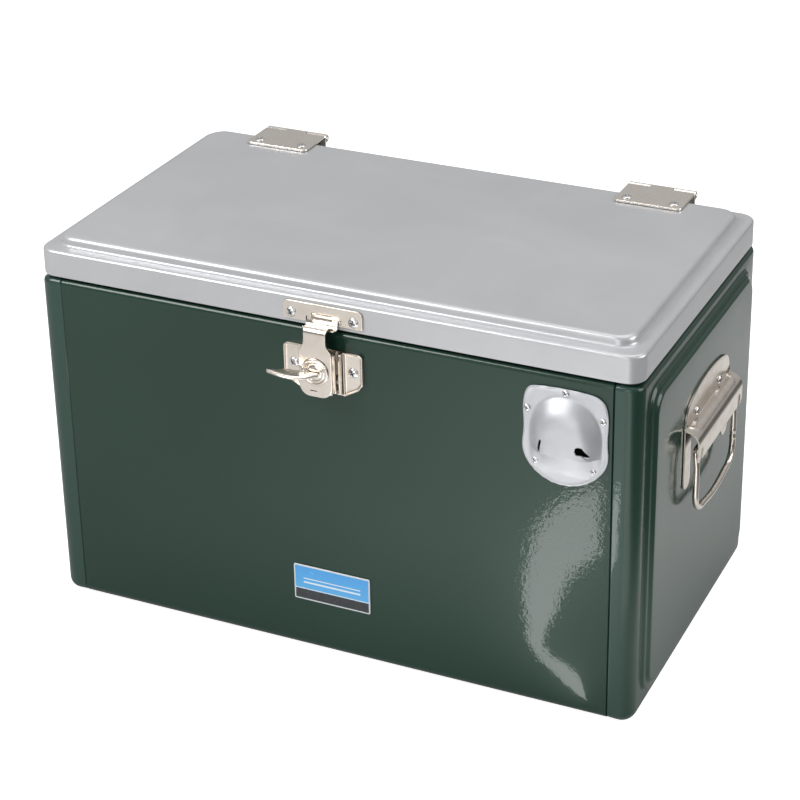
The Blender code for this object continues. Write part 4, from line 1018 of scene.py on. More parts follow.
def claw_spine():
    """Rows from the bottom edge up the face and round the hook: (y, z, outward normal y, z, half width, rim depth)."""
    out = []
    z0, rc, wc = c_lo.z + 0.0002, 0.0080, 0.0045
    for a in (0, 6, 13, 21, 30, 40, 50, 60, 70, 80, 90):
        z = z0 + rc * (1 - math.cos(rad(a)))
        out.append((CY, z, -1.0, 0.0, wc + rc * math.sin(rad(a)), lerp(0.00125, 0.0030, ramp(a, 25, 85))))
    for z in (0.2225, 0.2255, 0.2290, 0.2325, 0.2360, 0.2390, 0.2412, 0.2424):
        out.append((CY, z, -1.0, 0.0, 0.0125, 0.0030))
    shoulder = [(0.2434, 0.01246, 0.0026), (0.2444, 0.01228, 0.0019), (0.2454, 0.01190, 0.00135), (0.2464, 0.01125, 0.00125),
                (0.2474, 0.01035, 0.00125), (0.2484, 0.00955, 0.00125), (0.2494, 0.00898, 0.00125),
                (0.2506, 0.00858, 0.00125), (0.2520, 0.00832, 0.00125), (0.2540, 0.00817, 0.00125),
                (0.2560, 0.00815, 0.00125)]
    out += [(CY, z, -1.0, 0.0, w, d) for z, w, d in shoulder]
    r = 0.0042
    for a in (0, 12, 24, 36, 48, 60, 72, 84, 90):
        ca, sa = math.cos(rad(a)), math.sin(rad(a))
        out.append((CY + r - r * ca, 0.2622 - r + r * sa, -ca, sa, lerp(0.00815, 0.0086, a / 90.0), 0.00125))
    tail = spline([(CY + r, 0.2622), (-0.1346, 0.26215), (-0.1334, 0.26185), (-0.1323, 0.26130), (-0.1313, 0.26060),
                   (-0.1306, 0.25995)], 4)
    for i in range(1, len(tail)):
        p = tail[i]
        q = tail[min(i + 1, len(tail) - 1)] - tail[i - 1]
        t = q.normalized()
        k = i / (len(tail) - 1)
        out.append((p.x, p.y, -t.y, t.x, lerp(0.0086, 0.0101, ramp(k, 0.0, 0.9)), 0.00125))
    return out


def claw_section(y, z, ny, nz, w, depth, shrink=0.0):
    """Closed section across the strip: outer face with rounded folds, inner face one sheet below."""
    rf = min(0.0011, depth * 0.42)
    t, w = CT, w - shrink
    ri = max(rf - t, 0.00008)
    pts = [(-w, depth)]
    pts += [(-w + rf - rf * math.cos(rad(a)), rf - rf * math.sin(rad(a)) + shrink) for a in (0, 22.5, 45, 67.5, 90)]
    pts += [(lerp(-w + rf, w - rf, k / 6), shrink) for k in range(1, 6)]
    pts += [(w - rf + rf * math.sin(rad(a)), rf - rf * math.cos(rad(a)) + shrink) for a in (0, 22.5, 45, 67.5, 90)]
    pts += [(w, depth), (w - t * 0.98, depth)]
    pts += [(w - t * 0.98, t + ri), (w - t - ri, t)]
    pts += [(lerp(w - t - ri, -w + t + ri, k / 4), t) for k in range(1, 4)]
    pts += [(-w + t + ri, t), (-w + t * 0.98, t + ri), (-w + t * 0.98, depth)]
    return [(x, y - ny * d, z - nz * d) for x, d in pts]


spine = claw_spine()
rows = [claw_section(*spine[0][:5], spine[0][5], 0.00022)]
rows[0] = [(x, y, z - 0.00018) for x, y, z in rows[0]]
rows += [claw_section(*s) for s in spine]
last = spine[-1]
rows.append([(x * 0.985, y + 0.00012, z - 0.00018) for x, y, z in claw_section(*last[:5], last[5], 0.0002)])
bm = loft(rows)
bmesh.ops.recalc_face_normals(bm, faces=bm.faces)
flanges = []
for sx in (-1, 1):
    corners = [(CY + 0.0014, 0.2186, 0.0004), (CY + 0.0022, 0.2160, 0.0010), (-0.1322, 0.2127, 0.0016),
               (-0.1288, 0.2127, 0.0022), (-0.1288, 0.2175, 0.0020), (-0.1333, 0.2190, 0.0012), (-0.1333, 0.2434, 0.0016),
               (CY + 0.0012, 0.2434, 0.0003)]
    place = Matrix(((0, 0, 1, sx * 0.01180 - 0.00058), (1, 0, 0, 0), (0, 1, 0, 0), (0, 0, 0, 1)))
    flanges.append(relief(corners, [(0.00015, 0.0), (0, 0.00015), (0, 0.00101), (0.00015, 0.00116)], place, n=5))
hole = lathe([(0, -0.004), (0.0034, -0.004), (0.0034, 0.004), (0, 0.004)], 32,
             Matrix.Translation((0, CY + 0.0005, LATCH_Z)) @ Matrix.Rotation(HALF, 4, "X"))
slot_cut = relief([(-0.0040, 0.2163, 0.00045), (0.0010, 0.2163, 0.00045), (0.0010, 0.2173, 0.00045), (-0.0040, 0.2173, 0.00045)],
                  [(0, -0.003), (0, 0.004)], FRONT(CY + 0.0012), n=5)
pins = [lathe([(0, -0.004), (0.00105, -0.004), (0.00105, 0.004), (0, 0.004)], 20,
              Matrix.Translation((sx * 0.0118, -0.1303, 0.2150)) @ Matrix.Rotation(HALF, 4, "Y")) for sx in (-1, 1)]
piece("claw_body", bm, NICKEL, "claw", ["latch_claw"], sharp=32, add=flanges, cut=[hole, slot_cut] + pins)

# turning disc, pressed in rings, with its spindle through the claw
d_c, d_lo, d_hi = centre_of("turn_disc")
R = d_hi.x
BASE_Y = CY - 0.0015
prof = [(0.0, -0.0078), (0.0024, -0.0078), (0.0031, -0.0074), (0.0031, -0.0012), (0.0094, -0.0012), (R - 0.00015, -0.00115),
        (R, -0.0010), (R, -0.00075), (R - 0.0001, -0.0005), (R - 0.0004, -0.00025), (R - 0.0009, -0.00008),
        (R - 0.0014, -0.00005), (0.0082, -0.00022), (0.0079, -0.00052), (0.0076, -0.00060), (0.0073, -0.00048),
        (0.0069, -0.00016), (0.0065, -0.00006), (0.0061, -0.00016), (0.0058, -0.00040), (0.0055, -0.00046),
        (0.0052, -0.00034), (0.0048, -0.00006), (0.0042, 0.00010), (0.0034, 0.00020), (0.0020, 0.00028), (0.0, 0.00030)]
piece("turn_disc_plate", lathe(prof, 72, Matrix.Translation((0, BASE_Y, LATCH_Z)) @ Matrix.Rotation(HALF, 4, "X")),
      NICKEL, "turn", ["turn_disc"], sharp=45)

# the leaf: thin sheet with a rolled, thicker rim
leaf_pts = [(0.0041, 0.0034), (0.0016, 0.0068), (-0.0012, 0.0098), (-0.0048, 0.0124), (-0.0090, 0.0138), (-0.0140, 0.0141),
            (-0.0190, 0.0135), (-0.0245, 0.0120), (-0.0290, 0.0104), (-0.0308, 0.0094), (-0.0309, 0.0088),
            (-0.0296, 0.0080), (-0.0255, 0.0052), (-0.0210, 0.0030), (-0.0160, 0.0019), (-0.0100, 0.0014),
            (-0.0040, 0.0010), (0.0010, 0.0009), (0.0038, 0.0012)]
leaf_edge = resample(spline(leaf_pts, 10, True), 140, True)
mid = sum(leaf_edge, Vector((0, 0))) / len(leaf_edge)


def leaf_loop(inset, h):
    out, m = [], len(leaf_edge)
    for i, p in enumerate(leaf_edge):
        t = (leaf_edge[(i + 2) % m] - leaf_edge[i - 2]).normalized()
        nn = Vector((-t.y, t.x))
        if nn.dot(mid - p) < 0 and inset > 0.002:
            nn = (mid - p).normalized()
        out.append((p.x + nn.x * inset, p.y + nn.y * inset, h))
    return out


def leaf_signed(points):
    area = sum(a.x * b.y - b.x * a.y for a, b in zip(points, points[1:] + points[:1]))
    return area > 0


if not leaf_signed(leaf_edge):
    leaf_edge.reverse()
spine_line = spline([(0.0036, 0.0021), (-0.0040, 0.0056), (-0.0120, 0.0078), (-0.0200, 0.0082), (-0.0270, 0.0085), (-0.0302, 0.0091)], 12)


def leaf_row(k, h):
    """Outline drawn towards the middle line of the leaf by the share k."""
    out = []
    for p in leaf_edge:
        q = min(spine_line, key=lambda c: abs(c.x - p.x) + 0.2 * abs(c.y - p.y))
        q = Vector((lerp(p.x, q.x, 0.75), q.y))
        out.append((lerp(p.x, q.x, k), lerp(p.y, q.y, k), h))
    return out


rows = []
half_t = 0.00125
for k in (0.90, 0.75, 0.58, 0.42, 0.30, 0.20, 0.12, 0.06, 0.02, 0.0):
    rows.append(leaf_row(k, half_t * (1 - (1 - k) ** 5.0) ** 0.5 if k else 0.0))
top_rows = rows[:]
low_rows = [[(x, y, -h) for x, y, h in row] for row in reversed(rows[:-1])]
bm = loft(top_rows + low_rows)
place = Matrix(((1, 0, 0, 0), (0, -1, 0, BASE_Y - 0.0001), (0, 0, 1, LATCH_Z), (0, 0, 0, 1)))
bmesh.ops.transform(bm, matrix=place, verts=bm.verts)
bmesh.ops.recalc_face_normals(bm, faces=bm.faces)
piece("turn_leaf", bm, NICKEL, "turn", ["turn_lever"], sharp=50)

# ==================================================================== badge
a_c, a_lo, a_hi = centre_of("badge")


def badge_mat():
    """Plain two-tone label: pale frame, blue field, dark foot."""
    s = Shader("badge")
    x, z = s.axis("X"), s.axis("Z")
    x0, x1, z0, z1 = a_lo.x, a_hi.x, a_lo.z, a_hi.z
    m = 0.0011
    def inside(v, lo, hi):
        e = 0.00012
        return s.math("MULTIPLY", s.remap(v, lo - e, lo + e), s.remap(v, hi - e, hi + e, 1.0, 0.0))
    frame_in = s.math("MULTIPLY", inside(x, x0 + m, x1 - m), inside(z, z0 + m, z1 - m))
    blue = s.mix(s.remap(z, z0 + 0.008, z1), (0.105, 0.430, 0.800), (0.060, 0.340, 0.760))
    dark = s.mix(s.remap(s.noise(400.0, 2.0), 0.4, 0.7), (0.020, 0.024, 0.028), (0.030, 0.034, 0.040))
    foot = s.remap(z, z0 + 0.0086, z0 + 0.0088, 1.0, 0.0)
    tone = s.mix(foot, blue, dark)
    for a, b in ((0.0138, 0.0152), (0.0172, 0.0180)):
        line = s.math("MULTIPLY", inside(z, z0 + a, z0 + b), inside(x, x0 + 0.0075, x1 - 0.0075))
        tone = s.mix(s.math("MULTIPLY", line, 0.85), tone, (0.80, 0.86, 0.90))
    rim_line = inside(z, z0 + 0.0089, z0 + 0.0095)
    tone = s.mix(rim_line, tone, (0.78, 0.82, 0.84))
    tone = s.mix(frame_in, (0.62, 0.66, 0.68), tone)
    s.set(Base_Color=tone, Roughness=s.remap(s.noise(200.0, 3.0), 0.3, 0.7, 0.18, 0.28), Coat_Weight=0.7, Coat_Roughness=0.06)
    s.set(Normal=s.bump(s.noise(500.0, 2.0), 0.000008))
    return s.mat


bt = a_hi.y - a_lo.y
plate = relief([(a_lo.x, a_lo.z, 0.0013), (a_hi.x, a_lo.z, 0.0013), (a_hi.x, a_hi.z, 0.0013), (a_lo.x, a_hi.z, 0.0013)],
               [(0.00010, 0.0), (0, 0.0001), (0, bt - 0.0003), (0.00012, bt - 0.0001), (0.0003, bt - 0.00002),
                (0.0009, bt), (0.0012, bt - 0.00012), (0.0016, bt - 0.00012)], FRONT(a_hi.y), n=6)
piece("badge_plate", plate, badge_mat(), "chest", ["badge"], sharp=40)


# ============================================================ bottle opener
O_X, O_Z = 0.1731, 0.2120
rim_pts = [(150.6, 245.5), (159.5, 246.4), (170.2, 246.8), (181.0, 246.7), (190.0, 246.0), (195.6, 244.6), (199.4, 241.8),
           (201.5, 237.4), (202.6, 230.5), (202.6, 223.5), (202.2, 217.0), (202.4, 210.3), (202.9, 203.8), (202.2, 197.6),
           (199.5, 191.4), (194.8, 185.6), (188.8, 181.0), (182.0, 177.8), (174.8, 176.3), (166.8, 176.7), (159.8, 178.9),
           (153.5, 182.7), (148.3, 187.9), (144.9, 194.0), (143.5, 200.4), (143.7, 207.0), (144.3, 213.5), (144.2, 220.0),
           (143.8, 227.0), (144.0, 233.0), (145.0, 239.0), (147.2, 243.4)]
rim = resample([(p.x / 1000, p.y / 1000) for p in spline(rim_pts, 8, True)], 240, True)


O_MID = Vector((0.1734, 0.2016))
LIP_A, LIP_B = 0.1576, 0.1921


def rim_sides():
    """Outline from the left end of the lip line, up over the top, down the right side and back along the bowl."""
    where = lambda c: min(range(len(rim)), key=lambda i: (rim[i] - Vector(c)).length)
    marks = [where(c) for c in ((0.1435, 0.2016), (0.1475, 0.2437), (0.1998, 0.2412), (0.2028, 0.2016), (0.1964, 0.1872),
                                (0.1504, 0.1857))]
    out = []
    for a, b in zip(marks, marks[1:] + marks[:1]):
        if b <= a:
            b += len(rim)
        out.append([rim[i % len(rim)] for i in range(a, b + 1)])
    return out


SIDES = rim_sides()                         # left up, top, right down, right lower down, bowl, left lower up


def walk(side, t):
    run = [0.0]
    for a, b in zip(side, side[1:]):
        run.append(run[-1] + (b - a).length)
    s = t * run[-1]
    for i in range(len(side) - 1):
        if run[i + 1] >= s - 1e-12:
            return side[i].lerp(side[i + 1], (s - run[i]) / (run[i + 1] - run[i]))
    return side[-1].copy()


def rim_at(a, b):
    """Point of the outline for a point on the edge of the unit square."""
    if abs(b) >= abs(a) - 1e-9:
        if b > 0:
            return walk(SIDES[1], (a + 1) / 2)
        return walk(SIDES[4], (1 - a) / 2)
    if a < 0:
        return walk(SIDES[0], b) if b >= 0 else walk(SIDES[5], 1 + b)
    return walk(SIDES[2], 1 - b) if b >= 0 else walk(SIDES[3], -b)


def hood_height(x, z):
    """Pressed hood: arch-shaped dome, deepest along the lip."""
    dx = (x - 0.1736) / 0.0252
    dz = max(0.0, z - 0.2125) / 0.0285
    k = max(0.0, 1.0 - abs(dx) ** 2.3 - dz ** 2.0)
    return 0.0102 * smooth(min(1.0, k * 1.06)) ** 0.66


def tongue_height(x, z):
    """Under the lip the sheet dips and runs out flat into the bowl."""
    dx = min(1.0, abs((x - 0.1736) / 0.0235))
    return 0.0050 * smooth(1.0 - dx ** 2.0) ** 0.8 * ramp(z, 0.1830, 0.2045)


def opener_mesh():
    n = 32
    level = lambda k: (k / n) * (1.22 - 0.22 * k / n)
    bm = bmesh.new()

    def height(p, below):
        edge = min((p - q).length for q in rim)
        e = 0.00040 * math.exp(-((edge - 0.0011) / 0.00075) ** 2) - 0.00028 * (1 - ramp(edge, 0.0, 0.0008))
        hood, tongue = hood_height(p.x, p.y), tongue_height(p.x, min(p.y, 0.2030))
        inside = ramp(p.x, LIP_A - 0.0070, LIP_A + 0.0003) * ramp(-p.x, -LIP_B - 0.0060, -LIP_B + 0.0003)
        # past the ends of the lip the sheet is whole and slopes evenly
        whole = hood * ramp(p.y, 0.1860, 0.2130)
        return lerp(whole, tongue if below else hood, inside) + e

    table, low = {}, {}
    for j in range(-n, n + 1):
        for i in range(-n, n + 1):
            m = max(abs(i), abs(j))
            if m == 0:
                p, s = O_MID.copy(), 0.0
            else:
                s = level(m)
                p = O_MID.lerp(rim_at(i / m, j / m), s)
            p.y += 0.0013 * (1 - s * s) * max(0.0, math.cos((p.x - O_MID.x) / (LIP_B - LIP_A) * math.pi))
            table[i, j] = bm.verts.new((p.x, SEAT - 0.0010 - height(p, j < 0), p.y))
            if j == 0 and LIP_A < p.x < LIP_B:
                low[i] = bm.verts.new((p.x, SEAT - 0.0010 - height(p, True), p.y + 0.0006))
    for j in range(-n, n):
        for i in range(-n, n):
            hi0, hi1 = table[i, j + 1], table[i + 1, j + 1]
            if j + 1 == 0:
                hi0, hi1 = low.get(i, hi0), low.get(i + 1, hi1)
            bm.faces.new((table[i, j], table[i + 1, j], hi1, hi0))
    facing(bm, direction=(0, -1, 0))
    return bm


def window(points):
    return prism([(x / 1000, z / 1000) for x, z in points], 0.0022, 0.0160, FRONT(SEAT))


left_slit = window([(158.9, 212.4), (160.3, 211.6), (159.4, 207.0), (159.3, 203.6), (157.6, 202.6), (157.3, 205.0), (158.0, 209.0)])
right_hole = window([(183.6, 210.9), (185.6, 212.0), (188.0, 211.6), (189.4, 209.4), (192.6, 205.3), (192.2, 203.4), (190.6, 203.0),
                     (187.8, 205.8), (184.4, 206.0), (183.2, 208.2)])
holes = [lathe([(0, -0.003), (0.0013, -0.003), (0.0013, 0.003), (0, 0.003)], 20,
               Matrix.Translation((x, SEAT, z)) @ Matrix.Rotation(HALF, 4, "X"))
         for x, z in ((0.1731, 0.2438), (0.1468, 0.2284), (0.1990, 0.2284), (0.1528, 0.1912), (0.1926, 0.1912))]
piece("opener_sheet", opener_mesh(), SATIN, "chest", ["bottle_opener"], sharp=38, solid=0.0010, even=False,
      cut=[left_slit, right_hole] + holes)
for tag, a in (("top", 12), ("left", 48), ("right", 80), ("low_left", 30), ("low_right", 63)):
    front_screw("opener_screw_" + tag, "opener", SEAT - 0.0010, "chest", a)

# =================================================================== handles
H_LO, H_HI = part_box("handle_plate_right")
PANEL_X = 0.2282
M0 = G + PT / 2
ARCH = [(0.0, 0.2116), (0.0060, 0.21152), (0.0120, 0.2112), (0.0180, 0.2107), (0.0240, 0.2098), (0.0300, 0.2087), (0.0350, 0.2074),
        (0.0390, 0.2060), (0.0420, 0.2043), (0.0444, 0.2022), (0.0460, 0.2000), (0.0472, 0.1970), (0.0480, 0.1935), (0.0485, 0.1895)]
arch_fine = spline(ARCH, 10)


def hood_top(y):
    y = abs(y)
    for p, q in zip(arch_fine, arch_fine[1:]):
        if q.x >= y:
            return lerp(p.y, q.y, (y - p.x) / max(q.x - p.x, 1e-9))
    return arch_fine[-1].y


def bead(y, z):
    """Raised crease over the hood; its ends turn up towards the rim."""
    zb = 0.1868 + 0.0042 * ramp(abs(y), 0.0380, 0.0470)
    return 0.00060 * math.exp(-((z - zb) / 0.0010) ** 2) - 0.00030 * math.exp(-((z - zb - 0.0024) / 0.0009) ** 2)


def hood_profile():
    """Side view of the pressed hood from its crease down, as (out, z)."""
    m, r = M0, 0.0026
    pts = [(m + r * (1 - math.cos(rad(a))), 0.1899 - r * math.sin(rad(a)) * 0.55) for a in range(0, 76, 15)]
    x0, z0 = pts[-1]
    for a in range(18, 91, 4):
        pts.append((m + 0.0100 * math.sin(rad(a)), 0.1795 + 0.0092 * math.cos(rad(a))))
    pts = [p for i, p in enumerate(pts) if i < 5 or p[0] > pts[4][0] + 0.0003]
    pts += [(m + 0.0100, 0.1770), (m + 0.00995, 0.1750), (m + 0.0099, 0.1725), (m + 0.0098, 0.1700), (m + 0.0097, 0.1680),
            (m + 0.0095, 0.1665), (m + 0.00925, 0.1657)]
    return pts


def hood_mesh():
    prof = hood_profile()
    ys = [lerp(-0.0485, 0.0485, 0.5 - 0.5 * math.cos(math.pi * k / 84)) for k in range(85)]
    n = len(prof) - 1
    sections = []
    for y in ys:
        # the upright edges of the arch run straight down into the ends of the hood
        top = max(hood_top(y), 0.19030)
        col = [(M0, lerp(top, 0.1899, k / 14)) for k in range(14)] + prof
        soft = 0.0016 * (1 - ramp(0.0485 - abs(y), 0.0, 0.0022))
        col = [(u, z + soft * ramp(k, len(col) - 8, len(col) - 1)) for k, (u, z) in enumerate(col)]
        outer, inner = [], []
        for k, (u, z) in enumerate(col):
            a, b = col[max(k - 1, 0)], col[min(k + 1, len(col) - 1)]
            t = Vector((b[0] - a[0], b[1] - a[1])).normalized()
            nn = Vector((-t.y, t.x))
            h = bead(y, z) * ramp(top - z, 0.0, 0.0012)
            h -= 0.00022 * math.exp(-(y / 0.017) ** 2) * ramp(z, 0.1910, 0.1950)
            if k in (0, len(col) - 1):
                h -= 0.00010
            outer.append((PANEL_X + u + nn.x * (h + PT / 2), y, z + nn.y * (h + PT / 2)))
            h = min(h, 0.0) if k < 12 else h
            inner.append((PANEL_X + u + nn.x * (max(h, -0.0002) - PT / 2), y, z + nn.y * (max(h, -0.0002) - PT / 2)))
        sections.append(outer + inner[::-1])
    return loft(sections)


def handle(side):
    """Right plate in place; the left one is the same turned half round."""
    node = "handle_plate_" + side
    turn = Matrix.Identity(4) if side == "right" else TURN_Z
    tabs, cuts = [], []
    for sy in (-1, 1):
        a0, a1 = sorted((sy * 0.0355, sy * 0.0483))
        outer = [(a0, 0.1420, 0.0058), (a1, 0.1420, 0.0058), (a1, 0.1912, 0.0006), (a0, 0.1912, 0.0006)]
        tabs.append(relief(outer, [(0.0001, 0.00007), (0, 0.0002), (0, PT - 0.0003), (0.00012, PT - 0.00014), (0.0003, PT - 0.00009)],
                           RIGHT(PANEL_X + G), n=8))
        c = sy * 0.0420
        path = [(c - 0.0027, 0.1600), (c + 0.0027, 0.1600), (c + 0.0027, 0.1722)]
        path += [(c + 0.0027 * math.cos(rad(a)), 0.1722 + 0.0040 * math.sin(rad(a))) for a in range(15, 166, 15)]
        path += [(c - 0.0027, 0.1722)]
        cuts.append(prism(path, 0.0036, 0.020, RIGHT(PANEL_X)))
        cuts.append(lathe([(0, -0.004), (0.0015, -0.004), (0.0015, 0.004), (0, 0.004)], 20,
                          Matrix.Translation((PANEL_X, sy * 0.0250, 0.1935)) @ Matrix.Rotation(HALF, 4, "Y")))
    if side == "right":
        ob = piece("hood_" + side, hood_mesh(), NICKEL, "chest", [node], sharp=36, add=tabs, cut=cuts)
        handle.mesh = ob.data
    else:
        ob = piece("hood_" + side, None, NICKEL, "chest", [node], place=turn, share=handle.mesh, weighted=True)
    for i, y in ((1, -1), (2, 1)):
        nm = "handle_screw_%s_%d" % (side, i)
        c, lo, hi = centre_of(nm)
        out = 1 if side == "right" else -1
        seat_x = out * (PANEL_X + G + PT)
        screw(nm, "handle", Matrix.Translation((seat_x, c.y, c.z)) @ Matrix.Rotation(out * HALF, 4, "Y") @ turned(33 * i), "chest")


for side in ("right", "left"):
    handle(side)


def bail_path():
    """Closed wire loop as (out, across, down) about its pivot line."""
    def run(a, b, n):
        return [(lerp(a[0], b[0], k / n), lerp(a[1], b[1], k / n)) for k in range(1, n)]

    def bend(cy, cz, r, start, n):
        return [(cy + r * math.cos(rad(start - 90 * k / n)), cz + r * math.sin(rad(start - 90 * k / n))) for k in range(n + 1)]

    top_far = bend(0.0380, -0.0040, 0.0040, 90, 8)
    low_far = bend(0.0280, -0.0345, 0.0140, 0, 16)
    low_near = bend(-0.0280, -0.0345, 0.0140, 270, 16)
    top_near = bend(-0.0380, -0.0040, 0.0040, 180, 8)
    bow = [(lerp(0.0280, -0.0280, k / 24), -0.0485 - 0.0031 * math.sin(math.pi * k / 24) ** 1.3) for k in range(1, 24)]
    flat = top_far + run(top_far[-1], low_far[0], 12) + low_far + bow + low_near + run(low_near[-1], top_near[0], 12) + top_near
    flat += run(top_near[-1], top_far[0], 14)
    return [(0.0012 * min(1.0, max(0.0, -z / 0.012)), y, z) for y, z in flat]


BAIL = bail_path()


def wire(share):
    x, y, z = BAIL[min(len(BAIL) - 1, int(round(share * (len(BAIL) - 1))))]
    r = 0.0022
    if y > 0.0380:
        # the wire's ends meet here: two pressed collars with a dent between them
        d = -z
        r += 0.00022 * math.exp(-((d - 0.0250) / 0.0010) ** 2) + 0.00022 * math.exp(-((d - 0.0305) / 0.0010) ** 2)
        r -= 0.00024 * math.exp(-((d - 0.0277) / 0.0009) ** 2)
    return r


def dense(path):
    """Extra points along the jointed leg so that the collars are round."""
    out = []
    for a, b in zip(path, path[1:] + path[:1]):
        out.append(a)
        a, b = Vector(a), Vector(b)
        if a.y > 0.0400 and b.y > 0.0400 and -0.036 < a.z < -0.018 and (b - a).length > 0.001:
            n = int((b - a).length / 0.0005)
            out += [tuple(a.lerp(b, k / n)) for k in range(1, n)]
    return out


BAIL = dense(BAIL)
bail_bm = tube(BAIL, wire, n=24, closed=True)
ob = piece("bail_wire_right", bail_bm, NICKEL, "bail_r", ["bail_right"], sharp=60,
           place=Matrix.Translation((PANEL_X + 0.0068, 0, 0.1718)))
piece("bail_wire_left", None, NICKEL, "bail_l", ["bail_left"], share=ob.data, weighted=False,
      place=Matrix.Translation((-PANEL_X - 0.0068, 0, 0.1718)) @ TURN_Z)

# ===================================================================== drain
DRAIN = Matrix.Translation((-PANEL_X - G, 0, 0.0345)) @ Matrix.Rotation(-HALF, 4, "Y")
piece("drain_seal_ring", lathe([(0.0125, 0.0003), (0.01255, 0.0005), (0.0125, 0.0008), (0.0122, 0.0010), (0.0084, 0.0010),
                                (0.0080, 0.0008), (0.0080, 0.0002), (0.0083, 0.0), (0.0122, 0.0)], 64, DRAIN, ring=True),
      RUBBER, "chest", ["drain_washer"])
piece("drain_flange", lathe([(0.0130, 0.0016), (0.0130, 0.0024), (0.01285, 0.0029), (0.0125, 0.0032), (0.0120, 0.0033),
                             (0.0100, 0.0033), (0.0096, 0.00315), (0.0093, 0.0030), (0.0070, 0.0030), (0.0066, 0.0032),
                             (0.0062, 0.0033), (0.0058, 0.00325), (0.0055, 0.0030), (0.0055, -0.0397), (0.0058, -0.0400),
                             (0.0072, -0.0400), (0.0075, -0.0397), (0.0075, 0.0013), (0.0127, 0.0013)], 64, DRAIN, ring=True),
      WHITE, "chest", ["drain_fitting"])


def nut_ring():
    n = 72
    def hexa(k, flat):
        a = TAU * k / n
        m = (math.degrees(a) + 30) % 60 - 30
        return min(flat / math.cos(rad(m)), flat * 1.11)
    rows = []
    for s, z in ((0.94, 0.0), (1.0, 0.0006), (1.0, 0.0039), (0.94, 0.0045)):
        rows.append([(hexa(k, 0.0090) * s * math.cos(TAU * k / n), hexa(k, 0.0090) * s * math.sin(TAU * k / n), z) for k in range(n)])
    for r, z in ((0.0083, 0.0045), (0.0079, 0.0041), (0.0079, 0.0004), (0.0083, 0.0)):
        rows.append([(r * math.cos(TAU * k / n), r * math.sin(TAU * k / n), z) for k in range(n)])
    bm = loft(rows, ring=True)
    bmesh.ops.transform(bm, matrix=Matrix.Translation((-0.1888, 0, 0.0345)) @ Matrix.Rotation(-HALF, 4, "Y"), verts=bm.verts)
    bmesh.ops.recalc_face_normals(bm, faces=bm.faces)
    return bm


piece("drain_lock_nut", nut_ring(), WHITE, "chest", ["drain_nut"], sharp=28)


def plug():
    n = 72
    prof = [(0.0, -0.0120), (0.0038, -0.0120), (0.0045, -0.0117), (0.0048, -0.0111)]
    for k in range(3):                       # three soft sealing ribs
        z = -0.0095 + 0.0040 * k
        prof += [(0.00485, z - 0.0008), (0.00515, z - 0.0003), (0.00515, z + 0.0003), (0.00485, z + 0.0008)]
    prof += [(0.0050, 0.0034), (0.0052, 0.0036), (0.0084, 0.0036), (0.0088, 0.0039), (0.0088, 0.0058), (0.0086, 0.0062),
             (0.0078, 0.0068), (0.0068, 0.0072), (0.0052, 0.0072), (0.0046, 0.0069), (0.0040, 0.0066), (0.0, 0.0065)]
    bm = bmesh.new()
    rows = []
    for r, z in prof:
        if r < 1e-7:
            rows.append([bm.verts.new((0, 0, z))])
        else:
            grip = 0.00022 if 0.0037 < z < 0.0064 and r > 0.008 else 0.0
            rows.append([bm.verts.new(((r - grip * (0.5 - 0.5 * math.cos(24 * TAU * k / n))) * math.cos(TAU * k / n),
                                       (r - grip * (0.5 - 0.5 * math.cos(24 * TAU * k / n))) * math.sin(TAU * k / n), z))
                         for k in range(n)])
    for low, high in zip(rows, rows[1:]):
        for i in range(n):
            j = (i + 1) % n
            if len(low) == 1:
                bm.faces.new((low[0], high[i], high[j]))
            elif len(high) == 1:
                bm.faces.new((low[i], low[j], high[0]))
            else:
                bm.faces.new((low[i], low[j], high[j], high[i]))
    bmesh.ops.transform(bm, matrix=DRAIN, verts=bm.verts)
    bmesh.ops.recalc_face_normals(bm, faces=bm.faces)
    return bm


piece("drain_stopper", plug(), RUBBER, "plug", ["drain_plug"], sharp=40)




